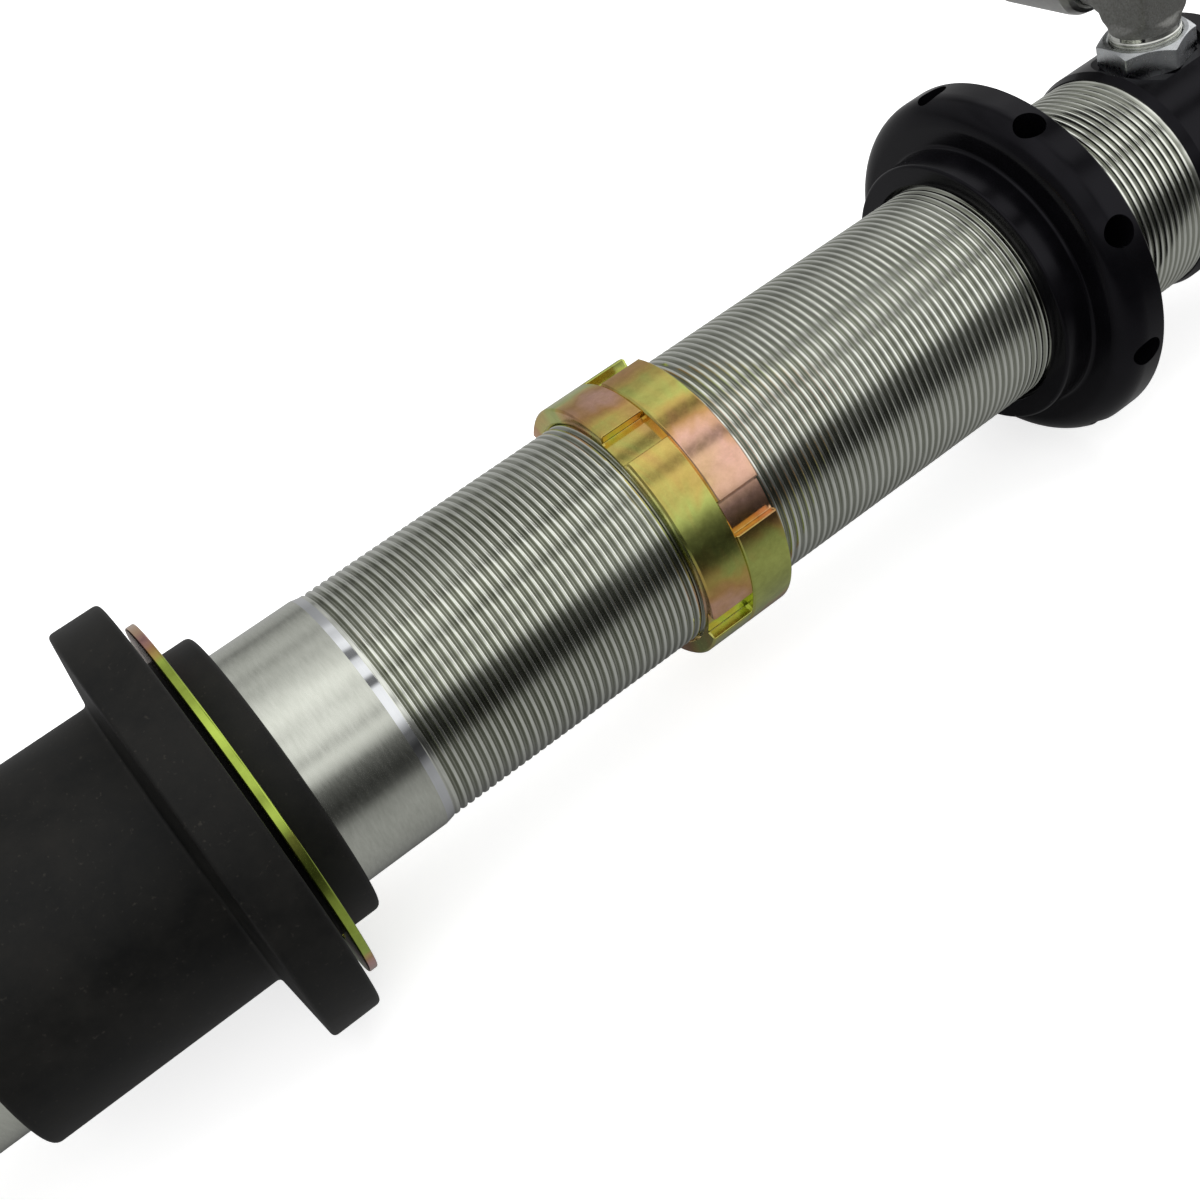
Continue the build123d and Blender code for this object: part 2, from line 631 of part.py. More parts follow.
def piston():
    """Ported piston with a groove for the wear band."""
    outer, inner = bore_r - FREE_GAP, stub_r + SEATED_GAP
    x0, x1 = compression_shims_x, piston_x
    band_x0 = (x0 + x1 - WEAR_BAND_WIDTH) / 2
    band_x1 = band_x0 + WEAR_BAND_WIDTH
    groove_r = outer - WEAR_BAND_DEPTH
    head = turned(
        (x0, inner), (x0, outer - EDGE_BREAK), (x0 + EDGE_BREAK, outer), (band_x0, outer),
        (band_x0, groove_r), (band_x1, groove_r), (band_x1, outer), (x1 - EDGE_BREAK, outer),
        (x1, outer - EDGE_BREAK), (x1, inner),
    )
    drill = Rot(0, 90, 0) * Cylinder(PISTON_PORT_D / 2, PISTON_LENGTH * 2)
    port = Pos((x0 + x1) / 2, 0, PISTON_PORT_CIRCLE_R) * drill
    for k in range(PISTON_PORTS):
        head -= at_angle(k * 360 / PISTON_PORTS, port)
    return head


def wear_band():
    middle = (compression_shims_x + piston_x) / 2
    half = WEAR_BAND_WIDTH / 2 - SEATED_GAP
    inner = bore_r - FREE_GAP - WEAR_BAND_DEPTH + SEATED_GAP
    return collar(middle - half, middle + half, inner, bore_r - RUNNING_GAP)


def piston_nut():
    nut = hex_nut(PISTON_NUT_FLATS, PISTON_NUT_HEIGHT, stub_r + SEATED_GAP, PISTON_NUT_BEVEL)
    return Pos(piston_nut_x - PISTON_NUT_HEIGHT, 0, 0) * nut


# Lower end

def bump_stop():
    """Foam stop with one waist, sitting in the perch's cup."""
    inner, waist_x = shaft_r + SEATED_GAP, (bump_top_x + cup_floor_x) / 2
    half = BUMP_LENGTH / 4
    return turned(
        (bump_top_x, inner + EDGE_BREAK), (bump_top_x, BUMP_WAIST_R), (waist_x - half, BUMP_R),
        (waist_x, BUMP_WAIST_R), (waist_x + half, BUMP_R), (cup_floor_x, BUMP_R), (cup_floor_x, inner),
    )


def lower_spring_perch():
    """Cupped spring seat with an open slot, so that it slips over the shaft on to the rod end."""
    edge, outer = PERCH_CHAMFER, PERCH_D / 2
    seat_r = ROD_COLLAR_R + SEATED_GAP
    inner = shaft_r + FREE_GAP
    perch = turned(
        (cup_floor_x, inner), (cup_floor_x, PERCH_CUP_R), (perch_hub_x, PERCH_CUP_R),
        (perch_hub_x, pilot_r - edge), (perch_hub_x + edge, pilot_r), (perch_seat_x, pilot_r),
        (perch_seat_x, outer - edge), (perch_seat_x + edge, outer), (perch_end_x - edge, outer),
        (perch_end_x, outer - edge), (perch_end_x, seat_r), (rod_collar_x, seat_r), (rod_collar_x, inner),
    )
    slot_length = perch_end_x - perch_hub_x + OVERCUT * 2
    slot = Box(slot_length, inner * 2, PERCH_D, align=(Align.MIN, Align.CENTER, Align.MAX))
    return perch - Pos(perch_hub_x - OVERCUT, 0, 0) * slot


def rod_end():
    """Lower eye with a collar that carries the perch and a threaded socket for the shaft."""
    collar_end = rod_collar_x + ROD_COLLAR_LENGTH
    boss_x = lower_eye_x - EYE_SHANK_START
    shank = turned(
        (rod_collar_x, 0), (rod_collar_x, ROD_COLLAR_R), (collar_end - EDGE_BREAK, ROD_COLLAR_R),
        (collar_end, ROD_COLLAR_R - EDGE_BREAK), (collar_end, ROD_SHANK_R), (boss_x, ROD_SHANK_R),
        (boss_x, 0),
    )
    rod = shank + eye(lower_eye_x, boss_x - OVERCUT, ROD_SHANK_R)
    rod -= bearing_seat(lower_eye_x)
    socket_end = rod_collar_x + SHAFT_THREAD_LENGTH
    socket_r = SHAFT_THREAD_D / 2 + SEATED_GAP
    return rod - collar(rod_collar_x - OVERCUT, socket_end + FINE_BREAK, 0, socket_r)


rings_x = cap_face_x + RINGS_FROM_CAP_FACE

parts = {
    "body_tube": body_tube(),
    "body_cap": body_cap(),
    "cap_oring": cap_oring(),
    "port_oring": port_oring(),
    "port_backup_ring": port_backup_ring(),
    "port_jam_nut": port_jam_nut(),
    "elbow_fitting": elbow_fitting(),
    "hose_socket": hose_socket(),
    "adjuster_nut": adjuster_nut(),
    "crossover_ring_upper": crossover_ring(rings_x, UPPER_NOTCH_PHASE),
    "crossover_ring_lower": crossover_ring(rings_x + RING_THICKNESS, LOWER_NOTCH_PHASE),
    "dual_rate_slider": dual_rate_slider(),
    "slider_washer": slider_washer(),
    "seal_head": seal_head(),
    "seal_head_oring": seal_head_oring(),
    "shaft_bushing": shaft_bushing(),
    "shaft_seal": shaft_seal(),
    "head_lock_ring": head_lock_ring(),
    "dust_cap": dust_cap(),
    "scraper": scraper(),
    "shaft": shaft(),
    "top_out_spacer": top_out_spacer(),
    "rebound_shims": shims(piston_x, 1),
    "piston": piston(),
    "wear_band": wear_band(),
    "compression_shims": shims(compression_shims_x, -1),
    "piston_nut": piston_nut(),
    "bump_stop": bump_stop(),
    "lower_spring_perch": lower_spring_perch(),
    "rod_end": rod_end(),
}
for end, eye_x in (("upper", 0), ("lower", lower_eye_x)):
    parts[f"{end}_bearing_race"] = bearing_race(eye_x)
    parts[f"{end}_snap_rings"] = snap_rings(eye_x)
    parts[f"{end}_ball"] = bearing_ball(eye_x)
    parts[f"{end}_spacers"] = bearing_spacers(eye_x)

os.makedirs("parts", exist_ok=True)
for name, shape in parts.items():
    export_step(shape, f"parts/{name}.step")
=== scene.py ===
import math
import bpy
import bmesh
from mathutils import Matrix, Vector

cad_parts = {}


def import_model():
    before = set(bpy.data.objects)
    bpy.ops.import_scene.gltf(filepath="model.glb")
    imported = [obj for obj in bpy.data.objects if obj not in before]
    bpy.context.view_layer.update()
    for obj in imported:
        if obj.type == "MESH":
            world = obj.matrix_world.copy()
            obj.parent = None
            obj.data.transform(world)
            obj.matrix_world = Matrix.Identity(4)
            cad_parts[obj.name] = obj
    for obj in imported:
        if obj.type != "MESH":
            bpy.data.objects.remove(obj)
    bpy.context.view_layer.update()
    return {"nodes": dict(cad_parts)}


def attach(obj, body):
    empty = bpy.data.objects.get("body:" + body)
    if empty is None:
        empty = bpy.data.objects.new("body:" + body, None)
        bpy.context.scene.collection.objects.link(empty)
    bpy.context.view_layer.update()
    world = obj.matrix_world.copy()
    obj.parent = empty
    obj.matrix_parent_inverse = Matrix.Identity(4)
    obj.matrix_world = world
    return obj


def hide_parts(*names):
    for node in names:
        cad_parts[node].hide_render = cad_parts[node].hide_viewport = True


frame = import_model()
nodes = frame["nodes"]
MM = 0.001

# Sizes in millimetres: x runs down the shock from its upper eye, z out through the hose port

CAP_FACE = 81.0
THREAD_END = 329.6
SMOOTH_START = 331.8
TUBE_END = 484.0
THREAD_R = 31.3
THREAD_PITCH = 2.1167
THREAD_SHAPE = [
    (0.00, 0.00), (0.12, 0.00), (0.24, 0.00), (0.29, 0.07), (0.45, 0.62),
    (0.54, 0.83), (0.62, 0.88), (0.70, 0.83), (0.79, 0.62), (0.95, 0.07),
]
BODY_R = 31.75
BORE_R = 28.6
LOCK_GROOVE_X = (476.0, 478.0)
LOCK_GROOVE_R = 29.8
COLLAR_BORE_R = 31.35
PILOT_R = 37.9
PORT_X = 64.4
NUT_BACK = 118.2
NUT_SEAT = 130.9
NUT_HUB_END = 140.2
NUT_RIM_R = 49.9
NUT_CORNER_R = 6.5
SPANNER_HOLES = 9
SPANNER_HOLE_PHASE = 21.2
SPANNER_HOLE_X = 124.3
SPANNER_HOLE_R = 4.0
SPANNER_HOLE_DEPTH = 10.6
RING_START = 231.0
RING_THICKNESS = 12.2
RING_R = 35.95
NOTCH_HALF = 4.65
NOTCH_DEPTH = 2.6
NOTCH_COUNT = 4
UPPER_NOTCH_PHASE = 68.9
LOWER_NOTCH_PHASE = 22.4
SLIDER_START = 354.9
SLIDER_FLANGE_X = (367.3, 380.2)
SLIDER_ROOT = 382.2
SLIDER_END = 439.5
SLIDER_BORE_R = 31.83
SLIDER_FLANGE_R = 55.2
SLIDER_SLEEVE_R = 37.5
WASHER_X = (363.4, 365.7)
WASHER_BORE_R = 38.7
WASHER_R = 47.9
WASHER_HANG = 0.75
JAM_NUT_Z = (30.0, 37.0)
JAM_NUT_FLATS = 22.2
JAM_NUT_TURN = 18.0
JAM_NUT_RECESS_R = 10.52
BACKUP_RING_TOP = 31.2
STEM_R = 9.3
ELBOW_FOOT = 40.6
ELBOW_FOOT_R = 9.2
ELBOW_TOP = 59.4
ELBOW_BEND = 51.2
ELBOW_HALF = 8.2
ELBOW_CORNER_R = 1.1
ELBOW_TOP_R = 2.7
ELBOW_ARM_CORNER_R = 5.4
ELBOW_ARM_R = 8.0
ELBOW_THROAT_R = 4.8
ELBOW_ARM_BORE_R = 6.45
ELBOW_STEM_BORE_R = 4.8
ELBOW_ARM_END = 16.0
SOCKET_Y = (15.6, 42.6)
SOCKET_R = 11.4
SOCKET_BORE_R = 8.5
SOCKET_BORE_DEPTH = 19.0
LOWER_EYE_X = 867.5
RACE_R = 18.25
RACE_SEAT_R = 15.15
RACE_HALF_WIDTH = 8.9
RACE_LEAD = 0.6
FIT = 0.05
FLOOR_Z = -55.25


# Mesh helpers

def rounded(profile, radius, steps=4):
    """Round the corners of a closed outline; a point may carry its own radius as a third number."""
    tiny = 1e-6
    nearly_straight = math.radians(86)
    longest_share = 0.45
    made = []
    count = len(profile)
    for i, point in enumerate(profile):
        own = point[2] if len(point) > 2 else radius
        here = Vector(point[:2])
        back = Vector(profile[i - 1][:2]) - here
        ahead = Vector(profile[(i + 1) % count][:2]) - here
        if own <= 0 or back.length < tiny or ahead.length < tiny:
            made.append(tuple(here))
            continue
        half = back.angle(ahead) / 2
        if half > nearly_straight:
            made.append(tuple(here))
            continue
        run = min(own / math.tan(half), back.length * longest_share, ahead.length * longest_share)
        start, end = here + back.normalized() * run, here + ahead.normalized() * run
        for k in range(steps + 1):
            s = k / steps
            made.append(tuple(start * (1 - s) ** 2 + here * 2 * s * (1 - s) + end * s * s))
    return made


def around(x, r, angle):
    """Point in metres at x, radius r and an angle from z towards y."""
    return (x * MM, r * math.sin(angle) * MM, r * math.cos(angle) * MM)


def mark_sharp(bm, sharp):
    """Shade smooth, apart from edges where faces meet more steeply than sharp degrees."""
    limit = math.radians(sharp)
    for face in bm.faces:
        face.smooth = True
    for edge in bm.edges:
        edge.smooth = not (len(edge.link_faces) == 2 and edge.calc_face_angle(0) > limit)


def even_normals(obj):
    even = obj.modifiers.new("even", "WEIGHTED_NORMAL")
    even.keep_sharp = True
    return obj


def linked(name, bm):
    """Object in the scene with the bmesh as its mesh."""
    mesh = bpy.data.meshes.new(name)
    bm.to_mesh(mesh)
    bm.free()
    obj = bpy.data.objects.new(name, mesh)
    bpy.context.scene.collection.objects.link(obj)
    return obj


def finish_mesh(bm, name, sharp=35.0, merge=0.002, weighted=True):
    """Clean a bmesh and turn it into an object with its sharp edges marked."""
    bmesh.ops.remove_doubles(bm, verts=bm.verts, dist=merge * MM)
    bmesh.ops.dissolve_degenerate(bm, edges=bm.edges, dist=merge * MM * 0.5)
    bmesh.ops.recalc_face_normals(bm, faces=bm.faces)
    mark_sharp(bm, sharp)
    obj = linked(name, bm)
    return even_normals(obj) if weighted else obj


def grid_faces(bm, rows, close_rows=True, close_columns=True):
    """Skin a list of rows of vertices with quads."""
    for i in range(len(rows) if close_rows else len(rows) - 1):
        a, b = rows[i], rows[(i + 1) % len(rows)]
        for j in range(len(a) if close_columns else len(a) - 1):
            k = (j + 1) % len(a)
            corners = (a[j], a[k], b[k], b[j])
            if len(set(corners)) == 4:
                bm.faces.new(corners)


def lathe(name, profile, steps, frame_of=None):
    """Solid turned about x, or about the x axis of a frame, from a closed (x, r) outline."""
    bm = bmesh.new()
    rows = []
    for k in range(steps):
        angle = 2 * math.pi * k / steps
        rows.append([bm.verts.new(around(x, r, angle)) for x, r in profile])
    grid_faces(bm, rows)
    if frame_of is not None:
        bm.transform(frame_of)
    return finish_mesh(bm, name)


def applied(obj):
    """Bake an object's modifiers into its mesh."""
    graph = bpy.context.evaluated_depsgraph_get()
    mesh = bpy.data.meshes.new_from_object(obj.evaluated_get(graph))
    obj.modifiers.clear()
    obj.data = mesh


def cut(obj, cutter, operation="DIFFERENCE"):
    """Boolean one object with another, which is then removed."""
    change = obj.modifiers.new("cut", "BOOLEAN")
    change.operation = operation
    change.solver = "EXACT"
    change.object = cutter
    applied(obj)
    bpy.data.objects.remove(cutter)
    return obj


def resharpen(obj, sharp=35.0):
    """Mark the sharp edges again after a boolean."""
    bm = bmesh.new()
    bm.from_mesh(obj.data)
    merge = 0.001
    bmesh.ops.remove_doubles(bm, verts=bm.verts, dist=merge * MM)
    mark_sharp(bm, sharp)
    bm.to_mesh(obj.data)
    bm.free()
    return even_normals(obj)


def turned_from(x, z, axis):
    """Frame at (x, 0, z) millimetres whose x axis is turned by a right angle about axis."""
    return Matrix.Translation((x * MM, 0, z * MM)) @ Matrix.Rotation(-math.pi / 2, 4, axis)


PORT_FRAME = turned_from(PORT_X, 0, "Y")
ARM_FRAME = turned_from(PORT_X, ELBOW_BEND, "Z")


# Materials

class Paint:
    """A principled material with the few node kinds that the part's finishes use."""

    def __init__(self, name, **sockets):
        self.mat = bpy.data.materials.new(name)
        self.mat.use_nodes = True
        self.tree = self.mat.node_tree
        self.shader = self.tree.nodes["Principled BSDF"]
        for socket, value in sockets.items():
            self.set(socket.replace("_", " "), value)
        self.coords = self.node("ShaderNodeTexCoord").outputs["Object"]

    def node(self, kind, **props):
        made = self.tree.nodes.new(kind)
        for key, value in props.items():
            setattr(made, key, value)
        return made

    def set(self, socket, value):
        target = self.shader.inputs[socket]
        if isinstance(value, (tuple, list)) and len(value) == 3 and len(target.default_value) == 4:
            value = (*value, 1.0)
        target.default_value = value

    def link(self, output, socket):
        target = self.shader.inputs[socket] if isinstance(socket, str) else socket
        self.tree.links.new(output, target)

    def scaled(self, scale, source=None):
        made = self.node("ShaderNodeVectorMath", operation="MULTIPLY")
        self.tree.links.new(source or self.coords, made.inputs[0])
        made.inputs[1].default_value = scale
        return made.outputs[0]

    def radial(self):
        """Vector of x, distance from the shock axis and turn about it."""
        parts = self.node("ShaderNodeSeparateXYZ")
        self.tree.links.new(self.coords, parts.inputs[0])
        flat = self.node("ShaderNodeCombineXYZ")
        self.tree.links.new(parts.outputs["Y"], flat.inputs["Y"])
        self.tree.links.new(parts.outputs["Z"], flat.inputs["Z"])
        reach = self.node("ShaderNodeVectorMath", operation="LENGTH")
        self.tree.links.new(flat.outputs[0], reach.inputs[0])
        turn = self.maths("ARCTAN2", parts.outputs["Y"], parts.outputs["Z"])
        made = self.node("ShaderNodeCombineXYZ")
        self.tree.links.new(parts.outputs["X"], made.inputs["X"])
        self.tree.links.new(reach.outputs["Value"], made.inputs["Y"])
        self.tree.links.new(turn, made.inputs["Z"])
        return made.outputs[0]

    def maths(self, operation, a, b=None):
        made = self.node("ShaderNodeMath", operation=operation)
        for slot, value in zip(made.inputs, (a, b)):
            if value is None:
                continue
            if isinstance(value, (int, float)):
                slot.default_value = value
            else:
                self.tree.links.new(value, slot)
        return made.outputs[0]

    def noise(self, scale, vector=None, detail=3.0, rough=0.5, warp=0.0):
        """Noise with its own scale along each axis."""
        made = self.node("ShaderNodeTexNoise")
        made.inputs["Scale"].default_value = 1.0
        made.inputs["Detail"].default_value = detail
        made.inputs["Roughness"].default_value = rough
        made.inputs["Distortion"].default_value = warp
        if isinstance(scale, (int, float)):
            scale = (scale, scale, scale)
        self.tree.links.new(self.scaled(scale, vector), made.inputs["Vector"])
        return made.outputs["Fac"]

    def ramp(self, value, *stops):
        """Colour ramp with stops of (place, colour)."""
        made = self.node("ShaderNodeValToRGB")
        line = made.color_ramp
        while len(line.elements) < len(stops):
            line.elements.new(0.5)
        for element, (place, colour) in zip(line.elements, stops):
            element.position = place
            element.color = (*colour, 1.0)
        self.tree.links.new(value, made.inputs["Fac"])
        return made.outputs["Color"]

    def span(self, value, low, high, out_low, out_high):
        """The value's range from low to high, clamped and mapped to the other two numbers."""
        made = self.node("ShaderNodeMapRange")
        for socket, number in zip(made.inputs[1:5], (low, high, out_low, out_high)):
            socket.default_value = number
        self.tree.links.new(value, made.inputs[0])
        return made.outputs[0]

    def mixed(self, factor, a, b, blend="MIX"):
        """Mix of two colours, which are inputs 6 and 7 of the mix node."""
        made = self.node("ShaderNodeMix", data_type="RGBA", blend_type=blend)
        sockets = [made.inputs[0], made.inputs[6], made.inputs[7]]
        for socket, value in zip(sockets, (factor, a, b)):
            if isinstance(value, (int, float)):
                socket.default_value = value
            elif isinstance(value, tuple):
                socket.default_value = (*value, 1.0)
            else:
                self.tree.links.new(value, socket)
        return made.outputs[2]

    def bump(self, height, strength, distance):
        made = self.node("ShaderNodeBump")
        made.inputs["Strength"].default_value = strength
        made.inputs["Distance"].default_value = distance * MM
        self.tree.links.new(height, made.inputs["Height"])
        self.link(made.outputs["Normal"], "Normal")


def turned_metal(name, dark, light, rough, lines, streak, bump, metallic=1.0, spread=0.08):
    """Metal with fine marks running round the shock axis and cloudy tone."""
    p = Paint(name, Metallic=metallic)
    polar = p.radial()
    marks = p.noise((lines, lines, streak), polar, detail=4.0, rough=0.65)
    cloud = p.noise(45.0, detail=4.0, rough=0.6)
    tone = p.maths("ADD", p.maths("MULTIPLY", marks, 0.55), p.maths("MULTIPLY", cloud, 0.45))
    p.link(p.ramp(tone, (0.32, dark), (0.68, light)), "Base Color")
    p.link(p.span(tone, 0.3, 0.7, rough - spread, rough + spread), "Roughness")
    p.bump(marks, strength=bump, distance=0.05)
    return p.mat


def zinc_thread():
    """Plated thread: a lighter crest band as painted highlight and a darker olive groove as painted shade."""
    p = Paint("zinc_thread", Metallic=1.0)
    polar = p.radial()
    parts = p.node("ShaderNodeSeparateXYZ")
    p.link(polar, parts.inputs[0])
    crest = p.span(parts.outputs["Y"], (THREAD_R - 0.35) * MM, (THREAD_R - 0.05) * MM, 0.0, 1.0)
    cloud = p.noise(60.0, detail=5.0, rough=0.6)
    marks = p.noise((1500.0, 1500.0, 6.0), polar, detail=3.0, rough=0.7)
    # Painted light: the groove colour is darkened as painted shade and the crest colour lightened as a
    # painted highlight, mixed by the crest mask
    groove = p.ramp(cloud, (0.3, (0.35, 0.365, 0.30)), (0.7, (0.47, 0.485, 0.42)))
    land = p.ramp(marks, (0.3, (0.82, 0.84, 0.76)), (0.7, (0.95, 0.97, 0.89)))
    p.link(p.mixed(crest, groove, land), "Base Color")
    base = p.span(crest, 0.0, 1.0, 0.14, 0.10)
    p.link(p.maths("ADD", base, p.span(cloud, 0.3, 0.7, -0.03, 0.04)), "Roughness")
    p.bump(marks, strength=0.04, distance=0.02)
    return p.mat


def chromate(name, green, pink, blooms, seed, clouds):
    """Yellow chromate over zinc: green and gold film that blooms pink.

    Each bloom is an angle about the shock and its reach, both in degrees, and an amount.
    """
    p = Paint(name, Metallic=1.0)
    shifted = p.node("ShaderNodeVectorMath", operation="ADD")
    p.link(p.coords, shifted.inputs[0])
    shifted.inputs[1].default_value = (seed, seed * 0.7, seed * 0.3)
    cloud = p.noise((64.0, 40.0, 40.0), shifted.outputs[0], detail=3.0, rough=0.55, warp=0.5)
    fine = p.noise(420.0, detail=4.0, rough=0.7)
    tone = p.span(cloud, 0.3, 0.7, 0.08, 0.08 + clouds)
    parts = p.node("ShaderNodeSeparateXYZ")
    p.link(p.radial(), parts.inputs[0])
    for angle, reach, amount in blooms:
        near = p.maths("COSINE", p.maths("SUBTRACT", parts.outputs["Z"], math.radians(angle)))
        tone = p.maths("ADD", tone, p.span(near, math.cos(math.radians(reach)), 1.0, 0.0, amount))
    gold, copper = (0.80, 0.60, 0.17), (0.76, 0.43, 0.17)
    dark = tuple(v * 0.8 for v in green)
    film = p.ramp(tone, (0.10, dark), (0.24, green), (0.38, gold), (0.54, copper), (0.74, pink),
                  (1.0, tuple(0.5 * (v + w) for v, w in zip(pink, gold))))
    grain = p.ramp(fine, (0.35, (0.86, 0.85, 0.82)), (0.65, (1.0, 1.0, 1.0)))
    p.link(p.mixed(1.0, film, grain, "MULTIPLY"), "Base Color")
    p.link(p.span(fine, 0.3, 0.7, 0.11, 0.20), "Roughness")
    p.bump(fine, strength=0.05, distance=0.03)
    return p.mat


def black_anodise(name, rough):
    """Black anodised aluminium with a faint violet sheen and turning marks."""
    tint = (0.0018, 0.0017, 0.0022)
    p = Paint(name, Metallic=0.0, IOR=1.5, Specular_IOR_Level=0.18)
    p.set("Specular Tint", (0.90, 0.88, 1.0))
    polar = p.radial()
    marks = p.noise((1300.0, 1300.0, 3.0), polar, detail=3.0, rough=0.6)
    cloud = p.noise(70.0, detail=4.0, rough=0.6)
    light = tuple(v * 1.9 for v in tint)
    p.link(p.ramp(cloud, (0.35, tint), (0.70, light)), "Base Color")
    p.link(p.span(cloud, 0.3, 0.7, rough - 0.04, rough + 0.07), "Roughness")
    p.bump(marks, strength=0.05, distance=0.03)
    return p.mat


def machined_plastic():
    """Charcoal plastic with faint turning lines, dusty mottling and small scuffs."""
    p = Paint("machined_plastic", Metallic=0.0, IOR=1.48, Specular_IOR_Level=0.24)
    polar = p.radial()
    lines = p.noise((1100.0, 1100.0, 2.0), polar, detail=4.0, rough=0.7)
    mottle = p.noise(55.0, detail=8.0, rough=0.72)
    dust = p.noise(900.0, detail=2.0, rough=0.5)
    base = p.ramp(mottle, (0.34, (0.0030, 0.0033, 0.0032)), (0.66, (0.0105, 0.0100, 0.0088)))
    specks = p.ramp(dust, (0.66, (0.0, 0.0, 0.0)), (0.80, (0.018, 0.016, 0.013)))
    p.link(p.mixed(1.0, base, specks, "ADD"), "Base Color")
    p.link(p.span(mottle, 0.3, 0.7, 0.44, 0.58), "Roughness")
    height = p.maths("ADD", p.maths("MULTIPLY", lines, 0.7), p.maths("MULTIPLY", dust, 0.3))
    p.bump(height, strength=0.22, distance=0.06)
    return p.mat


def blasted_forging():
    """Grey blasted steel with bright specks."""
    p = Paint("blasted_forging", Metallic=0.85)
    grain = p.noise(1700.0, detail=3.0, rough=0.7)
    cloud = p.noise(130.0, detail=4.0, rough=0.6)
    base = p.ramp(grain, (0.30, (0.23, 0.23, 0.215)), (0.62, (0.37, 0.37, 0.355)),
                  (0.80, (0.58, 0.58, 0.56)))
    soft = p.ramp(cloud, (0.3, (0.86, 0.86, 0.84)), (0.7, (1.0, 1.0, 1.0)))
    p.link(p.mixed(1.0, base, soft, "MULTIPLY"), "Base Color")
    p.link(p.span(grain, 0.3, 0.7, 0.40, 0.56), "Roughness")
    p.bump(grain, strength=0.45, distance=0.10)
    return p.mat


def plated_nut():
    """Clear zinc on a pressed hexagon, a little blue."""
    p = Paint("plated_nut", Metallic=1.0)
    cloud = p.noise(260.0, detail=4.0, rough=0.6)
    grain = p.noise(1500.0, detail=2.0, rough=0.6)
    tone = p.ramp(cloud, (0.30, (0.52, 0.54, 0.56)), (0.55, (0.68, 0.70, 0.71)), (0.75, (0.78, 0.82, 0.86)))
    p.link(tone, "Base Color")
    p.link(p.span(cloud, 0.3, 0.7, 0.20, 0.32), "Roughness")
    p.bump(grain, strength=0.16, distance=0.05)
    return p.mat


def moulded(name, dark, light, rough, scale=500.0, bump=0.25, distance=0.06, metallic=0.0):
    """Rubber, foam, moulded plastic or plated metal with an even grain."""
    p = Paint(name, Metallic=metallic)
    grain = p.noise(scale, detail=3.0, rough=0.6)
    cloud = p.noise(scale / 9, detail=3.0, rough=0.5)
    tone = p.maths("ADD", p.maths("MULTIPLY", grain, 0.5), p.maths("MULTIPLY", cloud, 0.5))
    p.link(p.ramp(tone, (0.32, dark), (0.68, light)), "Base Color")
    p.link(p.span(tone, 0.3, 0.7, rough - 0.06, rough + 0.06), "Roughness")
    p.bump(grain, strength=bump, distance=distance)
    return p.mat


thread_zinc = zinc_thread()
zinc_smooth = turned_metal("zinc_smooth", (0.67, 0.69, 0.61), (0.87, 0.89, 0.80),
                           rough=0.18, lines=1300.0, streak=9.0, bump=0.10, spread=0.05)
zinc_polished = turned_metal("zinc_polished", (0.80, 0.82, 0.84), (0.90, 0.92, 0.94),
                             rough=0.07, lines=500.0, streak=1.0, bump=0.02, spread=0.02)
ring_green, ring_pink = (0.66, 0.73, 0.20), (1.0, 0.60, 0.46)
ring_gold = chromate("ring_gold", ring_green, ring_pink,
                     ((51, 34, 0.50), (-14, 14, 0.26), (150, 30, 0.4), (-130, 30, 0.4)),
                     seed=0.0, clouds=0.44)
ring_gold_low = chromate("ring_gold_low", ring_green, ring_pink,
                         ((-6, 15, 0.42), (100, 13, 0.26), (170, 30, 0.4), (-58, 9, 0.3)),
                         seed=0.137, clouds=0.40)
nut_black = black_anodise("nut_black", rough=0.19)
cap_black = black_anodise("cap_black", rough=0.19)
perch_black = black_anodise("perch_black", rough=0.28)
slider_black = machined_plastic()
elbow_grey = blasted_forging()
hex_zinc = plated_nut()
machined_zinc = moulded("machined_zinc", (0.70, 0.71, 0.66), (0.86, 0.87, 0.82), rough=0.13,
                        scale=300.0, bump=0.03, distance=0.02, metallic=1.0)
socket_grey = turned_metal("socket_grey", (0.34, 0.34, 0.33), (0.48, 0.48, 0.47),
                           rough=0.38, lines=500.0, streak=30.0, bump=0.2)
chrome = turned_metal("chrome", (0.76, 0.77, 0.78), (0.86, 0.87, 0.88),
                      rough=0.07, lines=700.0, streak=0.6, bump=0.02, spread=0.02)
bearing_steel = turned_metal("bearing_steel", (0.36, 0.36, 0.37), (0.56, 0.56, 0.57),
                             rough=0.24, lines=900.0, streak=3.0, bump=0.06)
spacer_steel = turned_metal("spacer_steel", (0.52, 0.52, 0.50), (0.74, 0.74, 0.72),
                            rough=0.22, lines=900.0, streak=3.0, bump=0.10)
phosphate = turned_metal("phosphate", (0.05, 0.05, 0.05), (0.11, 0.10, 0.10),
                         rough=0.45, lines=900.0, streak=6.0, bump=0.1, metallic=0.6)
rod_steel = turned_metal("rod_steel", (0.46, 0.46, 0.44), (0.66, 0.66, 0.64),
                         rough=0.28, lines=500.0, streak=8.0, bump=0.14)
clear_anodise = turned_metal("clear_anodise", (0.58, 0.58, 0.59), (0.76, 0.76, 0.77),
                             rough=0.30, lines=900.0, streak=3.0, bump=0.12)
hard_anodise = turned_metal("hard_anodise", (0.40, 0.36, 0.26), (0.60, 0.55, 0.42),
                            rough=0.36, lines=900.0, streak=3.0, bump=0.12)
bronze = turned_metal("bronze", (0.36, 0.22, 0.10), (0.55, 0.36, 0.18),
                      rough=0.30, lines=900.0, streak=3.0, bump=0.12)
shim_steel = turned_metal("shim_steel", (0.42, 0.42, 0.43), (0.62, 0.62, 0.63),
                          rough=0.20, lines=900.0, streak=3.0, bump=0.08)
rubber = moulded("rubber", (0.010, 0.010, 0.010), (0.022, 0.022, 0.022), rough=0.62)
seal_blue = moulded("seal_blue", (0.030, 0.060, 0.110), (0.050, 0.090, 0.160), rough=0.42)
